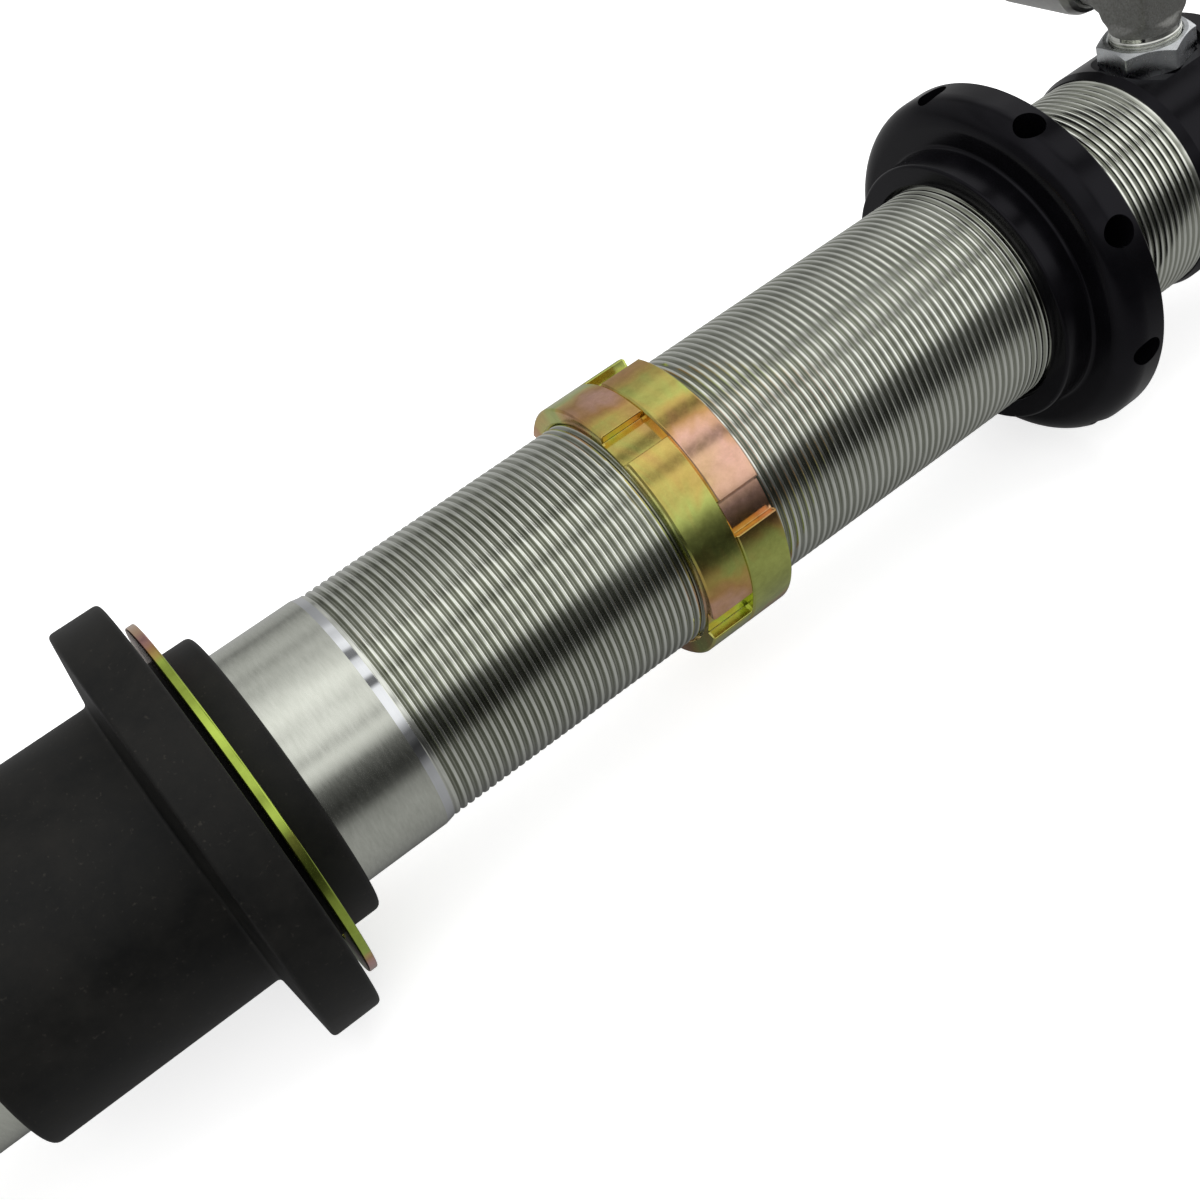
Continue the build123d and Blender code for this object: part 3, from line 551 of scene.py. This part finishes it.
white_ring = moulded("white_ring", (0.62, 0.61, 0.56), (0.76, 0.75, 0.70), rough=0.45)
brown_band = moulded("brown_band", (0.16, 0.09, 0.05), (0.28, 0.17, 0.10), rough=0.50)
foam = moulded("foam", (0.46, 0.36, 0.14), (0.66, 0.55, 0.26), rough=0.80,
               scale=1400.0, bump=0.6, distance=0.2)

node_paint = {
    "body_cap": cap_black, "cap_oring": rubber, "port_oring": rubber, "port_backup_ring": white_ring,
    "upper_bearing_race": bearing_steel, "upper_ball": bearing_steel, "upper_snap_rings": phosphate,
    "upper_spacers": spacer_steel, "seal_head": clear_anodise, "seal_head_oring": rubber,
    "shaft_bushing": bronze, "shaft_seal": seal_blue, "head_lock_ring": phosphate, "dust_cap": cap_black,
    "scraper": seal_blue, "shaft": chrome, "top_out_spacer": clear_anodise, "rebound_shims": shim_steel,
    "piston": hard_anodise, "wear_band": brown_band, "compression_shims": shim_steel, "piston_nut": hex_zinc,
    "bump_stop": foam, "lower_spring_perch": perch_black, "rod_end": rod_steel,
    "lower_bearing_race": bearing_steel, "lower_snap_rings": phosphate, "lower_ball": bearing_steel,
    "lower_spacers": spacer_steel, "body_tube": zinc_smooth, "adjuster_nut": nut_black,
    "crossover_ring_upper": ring_gold, "crossover_ring_lower": ring_gold_low,
    "dual_rate_slider": slider_black, "slider_washer": ring_gold, "port_jam_nut": hex_zinc,
    "elbow_fitting": elbow_grey, "hose_socket": socket_grey,
}
for name, obj in nodes.items():
    obj.data.materials.clear()
    obj.data.materials.append(node_paint[name])


def stand_in(obj, node, body, slot, *paints):
    """Place a detailed piece for a CAD node on its body."""
    for paint in paints:
        obj.data.materials.append(paint)
    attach(obj, body)
    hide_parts(node)


# Body tube with its thread

def body_tube():
    """Tube with a helical thread, whose rows wind round it once each, and a turned plain part."""
    columns = 120
    fade_out, chamfer, tiny = 0.8, 0.8, 1e-9
    # Radius between the bore with its groove and the thread's root
    skin_r = BORE_R + 1.5
    turns = int((THREAD_END - CAP_FACE) / THREAD_PITCH) + 2
    angles = [2 * math.pi * j / columns for j in range(columns)]
    bm = bmesh.new()

    def on_thread(start, depth, angle):
        """Place and radius at an angle, start turns down the thread and depth below its crest."""
        x = CAP_FACE + THREAD_PITCH * (start - angle / (2 * math.pi) + 1)
        x = min(max(x, CAP_FACE), THREAD_END)
        fade = min(1.0, (THREAD_END - x) / (THREAD_PITCH * fade_out), (x - CAP_FACE) / THREAD_PITCH)
        return x, THREAD_R - depth * fade

    rows = []
    for turn in range(-1, turns + 1):
        for share, depth in THREAD_SHAPE:
            rows.append([bm.verts.new(around(*on_thread(turn + share, depth, angle), angle))
                         for angle in angles])
    # The thread falls by a pitch in each turn, so the last column joins the first of the turn before
    per_turn = len(THREAD_SHAPE)
    for i in range(len(rows) - 1):
        for j in range(columns):
            k = (j + 1) % columns
            back = per_turn if k == 0 else 0
            if i < back:
                continue
            corners = (rows[i][j], rows[i - back][k], rows[i + 1 - back][k], rows[i + 1][j])
            places = [corner.co.x for corner in corners]
            if max(places) - min(places) > tiny:
                bm.faces.new(corners)
    near, far = LOCK_GROOVE_X
    plain = [
        (THREAD_END, THREAD_R), (SMOOTH_START, BODY_R), (TUBE_END - chamfer, BODY_R),
        (TUBE_END, BODY_R - chamfer), (TUBE_END, BORE_R), (far, BORE_R), (far, LOCK_GROOVE_R),
        (near, LOCK_GROOVE_R), (near, BORE_R), (CAP_FACE, BORE_R), (CAP_FACE, THREAD_R),
    ]
    lines = [[bm.verts.new(around(x, r, angle)) for angle in angles] for x, r in plain]
    grid_faces(bm, lines, close_rows=False)
    loose = [v for v in bm.verts if not v.link_faces]
    bmesh.ops.delete(bm, geom=loose, context="VERTS")
    obj = finish_mesh(bm, "body_tube_threaded", sharp=60.0, merge=0.01, weighted=False)

    # Material 0 is the thread's, 1 that of the polished step behind it and 2 that of the rest
    bm = bmesh.new()
    bm.from_mesh(obj.data)
    for face in bm.faces:
        middle = face.calc_center_median() / MM
        outside = middle.yz.length > skin_r
        if outside and middle.x < THREAD_END:
            face.material_index = 0
        elif outside and middle.x < SMOOTH_START:
            face.material_index = 1
        else:
            face.material_index = 2
    for edge in bm.edges:
        if len({f.material_index for f in edge.link_faces}) > 1:
            edge.smooth = False
    bm.to_mesh(obj.data)
    bm.free()
    return even_normals(obj)


stand_in(body_tube(), "body_tube", "damper_body", "tube_zinc", thread_zinc, zinc_polished, zinc_smooth)


# Adjuster nut

def adjuster_nut():
    corner_x, corner_r = NUT_SEAT - NUT_CORNER_R, NUT_RIM_R - NUT_CORNER_R
    corner_steps, drill_steps = 14, 48
    edge, lead = 0.8, 1.2
    corner = []
    for k in range(corner_steps + 1):
        turn = math.radians(90 * k / corner_steps)
        corner.append((corner_x + NUT_CORNER_R * math.sin(turn), corner_r + NUT_CORNER_R * math.cos(turn), 0))
    outline = rounded([
        (NUT_BACK, COLLAR_BORE_R + 1.0), (NUT_BACK, NUT_RIM_R - edge, 0.35),
        (NUT_BACK + edge, NUT_RIM_R, 0.35), *corner, (NUT_SEAT, PILOT_R, 1.2),
        (NUT_HUB_END, PILOT_R, 0.9), (NUT_HUB_END, COLLAR_BORE_R + lead, 0.3),
        (NUT_HUB_END - lead, COLLAR_BORE_R, 0.1), (NUT_BACK + 1.0, COLLAR_BORE_R, 0.1),
    ], radius=0.3, steps=5)
    nut = lathe("spring_adjuster", outline, steps=256)
    bm = bmesh.new()
    mouth = SPANNER_HOLE_DEPTH + 1.0
    drill = rounded([(0.0, 0.0, 0), (0.0, SPANNER_HOLE_R, 0), (SPANNER_HOLE_DEPTH - 0.1, SPANNER_HOLE_R, 0.2),
                     (mouth, SPANNER_HOLE_R + 1.0, 0), (mouth, 0.0, 0)], radius=0.0)
    for k in range(SPANNER_HOLES):
        angle = math.radians(SPANNER_HOLE_PHASE + k * 360 / SPANNER_HOLES)
        hole = turned_from(SPANNER_HOLE_X, NUT_RIM_R - SPANNER_HOLE_DEPTH, "Y")
        place = Matrix.Rotation(-angle, 4, "X") @ hole
        rows = []
        for step in range(drill_steps):
            turn = 2 * math.pi * step / drill_steps
            rows.append([bm.verts.new(place @ Vector(around(x, r, turn))) for x, r in drill])
        grid_faces(bm, rows)
    cutter = finish_mesh(bm, "drills", weighted=False)
    nut.modifiers.clear()
    return resharpen(cut(nut, cutter))


stand_in(adjuster_nut(), "adjuster_nut", "adjuster", "nut_black", nut_black)


# Crossover rings

def notched_ring(name, start, phase):
    """Ring whose outline goes round in columns that dip into its notches.

    A column is an angle in degrees, a distance to its side in millimetres and the radius that it keeps
    below. The distance stays the same at every radius, so the walls of a notch are parallel.
    """
    end = start + RING_THICKNESS
    floor = RING_R - NOTCH_DEPTH
    uncut = 99.0
    floor_steps, land_steps = 8, 32
    edge, lead, fillet = 0.5, 0.8, 0.2
    outline = rounded([
        (start, COLLAR_BORE_R + lead), (start, floor, 0), (start, RING_R - edge, 0.2),
        (start + edge, RING_R, 0.2), (end - edge, RING_R, 0.2), (end, RING_R - edge, 0.2), (end, floor, 0),
        (end, COLLAR_BORE_R + lead), (end - lead, COLLAR_BORE_R), (start + lead, COLLAR_BORE_R),
    ], radius=0.2, steps=3)
    wall = [(-NOTCH_HALF - 0.40, uncut), (-NOTCH_HALF - 0.22, RING_R - 0.05),
            (-NOTCH_HALF - 0.06, RING_R - 0.2), (-NOTCH_HALF, RING_R - 0.42),
            (-NOTCH_HALF, floor + fillet), (-NOTCH_HALF + fillet, floor)]
    spacing = 360 / NOTCH_COUNT
    side = math.degrees(math.asin((NOTCH_HALF + 0.4) / RING_R))
    land = spacing - 2 * side
    columns = []
    for n in range(NOTCH_COUNT):
        centre = phase + n * spacing
        for offset, clip in wall:
            columns.append((centre, offset, clip))
        for k in range(1, floor_steps):
            offset = -NOTCH_HALF + fillet + (2 * NOTCH_HALF - 2 * fillet) * k / floor_steps
            columns.append((centre, offset, floor))
        for offset, clip in reversed(wall):
            columns.append((centre, -offset, clip))
        for k in range(1, land_steps):
            columns.append((centre + side + land * k / land_steps, 0.0, uncut))
    bm = bmesh.new()
    rows = []
    for centre, offset, clip in columns:
        line = []
        for x, r in outline:
            reach = min(r, clip)
            angle = math.radians(centre) + math.asin(offset / max(reach, floor))
            line.append(bm.verts.new(around(x, reach, angle)))
        rows.append(line)
    grid_faces(bm, rows)
    return finish_mesh(bm, name, sharp=50.0, merge=0.01)


stand_in(notched_ring("crossover_upper", RING_START, UPPER_NOTCH_PHASE),
         "crossover_ring_upper", "ring_upper", "ring_yellow", ring_gold)
stand_in(notched_ring("crossover_lower", RING_START + RING_THICKNESS, LOWER_NOTCH_PHASE),
         "crossover_ring_lower", "ring_lower", "ring_yellow", ring_gold_low)


# Slider and washer

def slider():
    near, far = SLIDER_FLANGE_X
    outline = rounded([
        (SLIDER_START, SLIDER_BORE_R, 0.3), (SLIDER_START, PILOT_R, 1.8), (near, PILOT_R, 0.2),
        (near, SLIDER_FLANGE_R, 1.5), (far, SLIDER_FLANGE_R, 1.5), (SLIDER_ROOT, SLIDER_SLEEVE_R, 1.2),
        (SLIDER_END, SLIDER_SLEEVE_R, 1.4), (SLIDER_END, SLIDER_BORE_R, 0.3),
    ], radius=0.3, steps=6)
    return lathe("spring_slider", outline, steps=240)


stand_in(slider(), "dual_rate_slider", "slider", "slider_plastic", slider_black)


def washer():
    near, far = WASHER_X
    hang = Matrix.Translation((0, 0, -WASHER_HANG * MM))
    outline = rounded([(near, WASHER_BORE_R), (near, WASHER_R, 0.5), (far, WASHER_R, 0.5),
                       (far, WASHER_BORE_R)], radius=0.3, steps=5)
    return lathe("slider_washer_ring", outline, steps=240, frame_of=hang)


washer_gold = chromate("washer_gold", (0.60, 0.78, 0.13), (0.88, 0.45, 0.42),
                       ((-24, 30, 0.8), (124, 14, 0.6), (-150, 40, 0.4)),
                       seed=0.31, clouds=0.20)
stand_in(washer(), "slider_washer", "washer", "washer_yellow", washer_gold)


# Races of the spherical bearings, with the lead-in that lets the spacers tilt fully

def race(name, x):
    half, rim = RACE_HALF_WIDTH, 0.4
    seat_steps = 32
    flank = half - RACE_LEAD

    def seat(y):
        return math.sqrt(RACE_SEAT_R ** 2 - y ** 2)

    outline = [(-half, RACE_R - rim), (-half + rim, RACE_R), (half - rim, RACE_R), (half, RACE_R - rim),
               (half, seat(flank) + RACE_LEAD)]
    for k in range(seat_steps + 1):
        y = flank - 2 * flank * k / seat_steps
        outline.append((y, seat(y)))
    outline.append((-half, seat(flank) + RACE_LEAD))
    return lathe(name, outline, steps=144, frame_of=turned_from(x, 0, "Z"))


for side, body, x in (("upper", "damper_body", 0.0), ("lower", "shaft_assembly", LOWER_EYE_X)):
    stand_in(race(f"{side}_race_ring", x), f"{side}_bearing_race", body, "bearing_steel", bearing_steel)


# Hose port

def jam_nut():
    """Hexagon, cut to a turned shape that has the chamfers, the bore and the recess."""
    low, high = JAM_NUT_Z
    corner = JAM_NUT_FLATS / math.sqrt(3)
    # Half the angle, in radians, that a dulled corner of the hexagon takes
    dulled = 0.016
    r = JAM_NUT_FLATS / 2 / math.cos(math.pi / 6 - dulled)
    bm = bmesh.new()
    rows = []
    for z in (low, high):
        ring = []
        for k in range(6):
            for side in (-1, 1):
                angle = math.radians(JAM_NUT_TURN + 60 * k) + side * dulled
                x, y = PORT_X + r * math.cos(angle), r * math.sin(angle)
                ring.append(bm.verts.new((x * MM, y * MM, z * MM)))
        rows.append(ring)
    grid_faces(bm, rows, close_rows=False)
    bm.faces.new(rows[0])
    bm.faces.new(rows[1])
    blank = finish_mesh(bm, "hex_jam_nut", weighted=False)
    inner = STEM_R + FIT
    outer = corner + 0.2
    flat = JAM_NUT_FLATS / 2 - 0.25
    recess = BACKUP_RING_TOP + 0.02
    cone = lathe("cone", [
        (low, JAM_NUT_RECESS_R), (low, flat + 0.55), (low + 0.8, outer), (high - 1.3, outer), (high, flat),
        (high, inner + 0.5), (high - 0.5, inner), (recess, inner), (recess, JAM_NUT_RECESS_R),
    ], steps=144, frame_of=PORT_FRAME)
    cone.modifiers.clear()
    return resharpen(cut(blank, cone, "INTERSECT"), sharp=20.0)


stand_in(jam_nut(), "port_jam_nut", "damper_body", "jam_nut_zinc", hex_zinc)


def forged_block(bm):
    """Round foot that turns into a square block with soft top edges."""
    half, foot, edge = ELBOW_HALF, ELBOW_FOOT_R, ELBOW_TOP_R
    steps = 8

    def slab(z, reach, soft):
        """Square of half width reach with corners of radius soft, at height z."""
        ring = []
        for cx, cy, start in ((1, 1, 0), (-1, 1, 90), (-1, -1, 180), (1, -1, 270)):
            for k in range(steps + 1):
                angle = math.radians(start + 90 * k / steps)
                x = cx * (reach - soft) + soft * math.cos(angle)
                y = cy * (reach - soft) + soft * math.sin(angle)
                ring.append(bm.verts.new(((PORT_X + x) * MM, y * MM, z * MM)))
        return ring

    # The lowest layers make up for what the smoothing takes off
    outlines = [
        (ELBOW_FOOT - 1.1, foot - 0.3, foot - 0.31), (ELBOW_FOOT - 0.8, foot + 0.1, foot + 0.09),
        (ELBOW_FOOT + 0.2, foot, foot - 0.2), (ELBOW_FOOT + 1.0, foot - 0.4, foot - 2.6),
        (ELBOW_FOOT + 2.2, half, 2.6), (ELBOW_FOOT + 4.6, half, ELBOW_CORNER_R),
    ]
    for k in range(steps + 1):
        turn = math.radians(90 * k / steps)
        inset = edge * (1 - math.cos(turn))
        outlines.append((ELBOW_TOP - edge * (1 - math.sin(turn)), half - inset, ELBOW_CORNER_R))
    layers = [slab(*outline) for outline in outlines]
    grid_faces(bm, layers, close_rows=False)
    bm.faces.new(layers[0])
    bm.faces.new(layers[-1])


def forged_arm(bm):
    """Round arm with a concave throat, held within the block's outline."""
    half, soft = ELBOW_HALF, ELBOW_ARM_CORNER_R
    throat_steps, columns = 8, 96
    start, end = half - 0.8, half + ELBOW_THROAT_R
    stations = [(0.0, ELBOW_ARM_R)]
    for k in range(throat_steps + 1):
        y = start + (end - start) * k / throat_steps
        short = max(end - y, 0.0)
        hollow = math.sqrt(max(ELBOW_THROAT_R ** 2 - short ** 2, 0.0))
        stations.append((y, ELBOW_ARM_R + ELBOW_THROAT_R - hollow))
    stations += [(ELBOW_ARM_END - 0.5, ELBOW_ARM_R), (ELBOW_ARM_END, ELBOW_ARM_R - 0.5)]
    low, high = ELBOW_FOOT + 2.0 - ELBOW_BEND, ELBOW_TOP - 0.2 - ELBOW_BEND
    rows = []
    for y, r in stations:
        row = []
        for step in range(columns):
            turn = 2 * math.pi * step / columns
            x, z = r * math.sin(turn), r * math.cos(turn)
            cx = min(max(x, soft - half), half - soft)
            cz = min(max(z, low + soft), high - soft)
            reach = math.hypot(x - cx, z - cz)
            if reach > soft:
                x, z = cx + (x - cx) * soft / reach, cz + (z - cz) * soft / reach
            row.append(bm.verts.new(((PORT_X + x) * MM, -y * MM, (ELBOW_BEND + z) * MM)))
        rows.append(row)
    grid_faces(bm, rows, close_rows=False)
    bm.faces.new(rows[0])
    bm.faces.new(rows[-1])


def elbow_forging():
    """Block and arm, run together and softened as a forging."""
    grain = 0.36
    bm = bmesh.new()
    forged_block(bm)
    forged_arm(bm)
    obj = finish_mesh(bm, "elbow_forging", weighted=False)
    skin = obj.modifiers.new("skin", "REMESH")
    skin.mode = "VOXEL"
    skin.voxel_size = grain * MM
    settle = obj.modifiers.new("settle", "SMOOTH")
    settle.iterations = 5
    settle.factor = 0.5
    applied(obj)
    for face in obj.data.polygons:
        face.use_smooth = True
    return obj


stand_in(elbow_forging(), "elbow_fitting", "damper_body", "elbow_grey", elbow_grey)


def elbow_collar():
    """Machined neck under the forging, with the first turns of its thread."""
    foot, top, bore = JAM_NUT_Z[1], ELBOW_FOOT + 0.4, ELBOW_STEM_BORE_R
    reach, floor = STEM_R, STEM_R - 0.5
    outline = rounded([
        (foot - 6.0, bore), (foot - 6.0, reach - 0.1), (foot - 0.2, reach - 0.1), (foot - 0.2, floor),
        (foot + 0.1, floor), (foot + 0.2, reach), (foot + 0.55, reach), (foot + 0.65, floor),
        (foot + 0.95, floor), (foot + 1.05, reach), (foot + 1.3, reach, 0.2), (foot + 1.6, reach - 0.3, 0.3),
        (top, reach - 0.3), (top, bore),
    ], radius=0.08, steps=3)
    return lathe("elbow_collar", outline, steps=240, frame_of=PORT_FRAME)


collar = elbow_collar()
collar.data.materials.append(machined_zinc)
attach(collar, "damper_body")


def hose_socket():
    start, mouth = SOCKET_Y
    floor = mouth - SOCKET_BORE_DEPTH
    inner, face = ELBOW_ARM_R + FIT, ELBOW_ARM_END + FIT
    outline = rounded([
        (start, inner), (start, SOCKET_R - 2.4, 0.5), (start + 0.9, SOCKET_R - 1.2, 0.8),
        (start + 3.0, SOCKET_R - 0.2, 1.2), (start + 5.0, SOCKET_R, 1.5), (mouth, SOCKET_R, 0.8),
        (mouth, SOCKET_BORE_R, 0.4), (floor, SOCKET_BORE_R, 0.3), (floor, ELBOW_ARM_BORE_R),
        (face, ELBOW_ARM_BORE_R, 0.05), (face, inner, 0.05),
    ], radius=0.3, steps=4)
    return lathe("hose_end_socket", outline, steps=128, frame_of=ARM_FRAME)


stand_in(hose_socket(), "hose_socket", "damper_body", "socket_steel", socket_grey)


# Stage: floor, world, lamps and the tent that the metal mirrors

FLOOR_REACH = 8.0
FLOOR_GREY = 0.80
FLOOR_GLOW = 0.68
WORLD_LIGHT = 0.42
WHITE = (1, 1, 1, 1)


def seen_by(tree, *kinds):
    """Output that is 1 for the named kinds of ray and 0 for others."""
    rays = tree.nodes.new("ShaderNodeLightPath")
    seen = rays.outputs[kinds[0]]
    for kind in kinds[1:]:
        either = tree.nodes.new("ShaderNodeMath")
        either.operation = "MAXIMUM"
        tree.links.new(seen, either.inputs[0])
        tree.links.new(rays.outputs[kind], either.inputs[1])
        seen = either.outputs[0]
    return seen


def white_floor():
    """Floor that catches shadows and glows a little to the camera and in reflections."""
    bm = bmesh.new()
    corners = [bm.verts.new((x * FLOOR_REACH, y * FLOOR_REACH, FLOOR_Z * MM))
               for x, y in ((-1, -1), (1, -1), (1, 1), (-1, 1))]
    bm.faces.new(corners)
    obj = linked("floor", bm)
    mat = bpy.data.materials.new("floor_white")
    mat.cycles.emission_sampling = "NONE"
    mat.use_nodes = True
    tree = mat.node_tree
    tree.nodes.clear()
    out = tree.nodes.new("ShaderNodeOutputMaterial")
    diffuse = tree.nodes.new("ShaderNodeBsdfDiffuse")
    diffuse.inputs["Color"].default_value = (FLOOR_GREY, FLOOR_GREY, FLOOR_GREY, 1)
    glow = tree.nodes.new("ShaderNodeEmission")
    glow.inputs["Color"].default_value = WHITE
    share = tree.nodes.new("ShaderNodeMath")
    share.operation = "MULTIPLY"
    share.inputs[1].default_value = FLOOR_GLOW
    tree.links.new(seen_by(tree, "Is Camera Ray", "Is Glossy Ray"), share.inputs[0])
    tree.links.new(share.outputs[0], glow.inputs["Strength"])
    total = tree.nodes.new("ShaderNodeAddShader")
    tree.links.new(diffuse.outputs[0], total.inputs[0])
    tree.links.new(glow.outputs[0], total.inputs[1])
    tree.links.new(total.outputs[0], out.inputs["Surface"])
    obj.data.materials.append(mat)


def world():
    """White to camera, glossy and transmission rays, softer as a light."""
    made = bpy.data.worlds.new("studio")
    bpy.context.scene.world = made
    made.use_nodes = True
    tree = made.node_tree
    tree.nodes.clear()
    out = tree.nodes.new("ShaderNodeOutputWorld")
    soft = tree.nodes.new("ShaderNodeBackground")
    soft.inputs["Color"].default_value = WHITE
    soft.inputs["Strength"].default_value = WORLD_LIGHT
    white = tree.nodes.new("ShaderNodeBackground")
    white.inputs["Color"].default_value = WHITE
    white.inputs["Strength"].default_value = 1.0
    pick = tree.nodes.new("ShaderNodeMixShader")
    seen = seen_by(tree, "Is Camera Ray", "Is Glossy Ray", "Is Transmission Ray")
    tree.links.new(seen, pick.inputs[0])
    tree.links.new(soft.outputs[0], pick.inputs[1])
    tree.links.new(white.outputs[0], pick.inputs[2])
    tree.links.new(pick.outputs[0], out.inputs["Surface"])


# The tent, in metres, and its brightness by degrees from straight up, counted towards y
TENT_R = 1.9
TENT_ENDS = (-2.4, 3.2)
TENT_ABOVE_FLOOR = 1.2 * MM
TENT_FROM, TENT_TO = -128, 216
TENT_NEAR = [
    (-128, 0.42), (-96, 0.40), (-82, 0.34), (-74, 0.20), (-66, 0.32), (-56, 0.44), (-46, 0.50), (-36, 0.36),
    (-26, 0.54), (-18, 0.52), (-6, 0.72), (8, 0.95), (16, 0.97), (28, 0.74), (38, 0.88), (46, 0.84),
    (54, 0.45), (62, 0.88), (70, 0.60), (78, 0.14), (88, 0.07), (98, 0.03), (106, 0.06), (114, 0.26),
    (126, 0.33), (142, 0.30), (158, 0.22), (174, 0.13), (190, 0.09), (216, 0.07),
]
TENT_MIDDLE = [
    (-128, 0.42), (-96, 0.40), (-74, 0.30), (-60, 0.30), (-44, 0.26), (-30, 0.34), (-20, 0.36), (-9, 0.50),
    (-4, 0.30), (2, 0.34), (6, 0.80), (14, 0.84), (20, 0.55), (28, 0.60), (36, 0.82), (42, 0.64), (50, 0.40),
    (58, 0.58), (66, 0.50), (76, 0.14), (88, 0.07), (100, 0.05), (108, 0.08), (118, 0.22), (134, 0.24),
    (150, 0.18), (170, 0.12), (216, 0.08),
]
TENT_FAR = [
    (-128, 0.42), (-98, 0.40), (-74, 0.39), (-58, 0.43), (-44, 0.56), (-37, 0.92), (-30, 0.72), (-24, 0.80),
    (-17, 1.00), (-10, 0.90), (-6, 0.22), (1, 0.18), (5, 0.75), (14, 1.00), (22, 0.95), (26, 0.18),
    (32, 0.15), (36, 0.95), (46, 1.00), (62, 1.00), (70, 0.90), (77, 0.45), (84, 0.12), (100, 0.06),
    (108, 0.12), (118, 0.33), (140, 0.35), (158, 0.26), (174, 0.17), (190, 0.12), (216, 0.10),
]
TENT_FAR_TO_MIDDLE = (-0.65, -0.25)
TENT_MIDDLE_TO_NEAR = (-0.15, 0.1)
TENT_NEAR_TO_END = (2.4, 3.1)
TENT_END = (0.24, 0.24, 0.24)


def tent():
    """Tunnel along the shock that only reflections see, down to the floor on both sides."""
    skirt = -FLOOR_Z * MM - TENT_ABOVE_FLOOR
    level = 1e-4
    bm = bmesh.new()
    rows = []
    for x in TENT_ENDS:
        line = []
        for a in range(TENT_FROM, TENT_TO + 1):
            turn = math.radians(a)
            drop = -math.cos(turn)
            reach = min(TENT_R, skirt / drop) if drop > level else TENT_R
            line.append(bm.verts.new((x, reach * math.sin(turn), reach * math.cos(turn))))
        rows.append(line)
    grid_faces(bm, rows, close_rows=False, close_columns=False)
    # Closed at the end down the shock, open at the other
    bm.faces.new(rows[1])
    obj = linked("tent", bm)
    p = Paint("tent_light")
    p.mat.cycles.emission_sampling = "NONE"
    tree = p.tree
    parts = p.node("ShaderNodeSeparateXYZ")
    p.link(p.coords, parts.inputs[0])
    # Turned by 44 degrees, so that the jump from half a turn to minus half falls outside the tent
    back = math.radians(44)
    y = p.maths("SUBTRACT", p.maths("MULTIPLY", parts.outputs["Y"], math.cos(back)),
                p.maths("MULTIPLY", parts.outputs["Z"], math.sin(back)))
    z = p.maths("ADD", p.maths("MULTIPLY", parts.outputs["Z"], math.cos(back)),
                p.maths("MULTIPLY", parts.outputs["Y"], math.sin(back)))
    angle = p.maths("ARCTAN2", y, z)
    start, whole = math.radians(TENT_FROM) - back, math.radians(TENT_TO - TENT_FROM)
    share = p.span(angle, start, start + whole, 0.0, 1.0)

    def stripes(tones):
        return p.ramp(share, *[((a - TENT_FROM) / (TENT_TO - TENT_FROM), (v, v, v)) for a, v in tones])

    near, middle, far = stripes(TENT_NEAR), stripes(TENT_MIDDLE), stripes(TENT_FAR)
    tone = p.mixed(p.span(parts.outputs["X"], *TENT_FAR_TO_MIDDLE, 0.0, 1.0), far, middle)
    tone = p.mixed(p.span(parts.outputs["X"], *TENT_MIDDLE_TO_NEAR, 0.0, 1.0), tone, near)
    tone = p.mixed(p.span(parts.outputs["X"], *TENT_NEAR_TO_END, 0.0, 1.0), tone, TENT_END)
    glow = p.node("ShaderNodeEmission")
    p.link(tone, glow.inputs["Color"])
    out = tree.nodes["Material Output"]
    tree.links.new(glow.outputs[0], out.inputs["Surface"])
    tree.nodes.remove(p.shader)
    obj.data.materials.append(p.mat)
    obj.visible_camera = False
    obj.visible_diffuse = False
    obj.visible_shadow = False
    obj.visible_transmission = False


def lamp(name, place, aim, size, power):
    data = bpy.data.lights.new(name, "AREA")
    data.shape = "SQUARE"
    data.size = size
    data.energy = power
    obj = bpy.data.objects.new(name, data)
    obj.location = place
    obj.rotation_euler = (Vector(aim) - Vector(place)).to_track_quat("-Z", "Y").to_euler()
    obj.visible_glossy = False
    bpy.context.scene.collection.objects.link(obj)


white_floor()
world()
tent()
lamp("key", place=(0.2, -0.35, 1.9), aim=(0.3, 0.0, 0.0), size=2.2, power=30.0)
lamp("fill", place=(0.9, 1.3, 1.3), aim=(0.3, 0.0, 0.0), size=1.6, power=12.0)


def camera():
    """Camera whose place and turn were solved from the edges of the turned pieces."""
    data = bpy.data.cameras.new("camera")
    data.lens = 49.5
    data.sensor_width = 36.0
    data.sensor_fit = "HORIZONTAL"
    data.clip_start = 0.01
    data.clip_end = 50.0
    obj = bpy.data.objects.new("camera", data)
    right = Vector((-0.7823, 0.5508, -0.2907))
    up = Vector((-0.5604, -0.4189, 0.7145))
    back = Vector((0.2718, 0.7219, 0.6364))
    place = Vector((0.3792, 0.2978, 0.2490))
    turn = Matrix((right, up, back)).transposed()
    obj.matrix_world = Matrix.Translation(place) @ turn.to_4x4()
    bpy.context.scene.collection.objects.link(obj)
    bpy.context.scene.camera = obj


camera()
bpy.context.scene.view_settings.view_transform = "Standard"
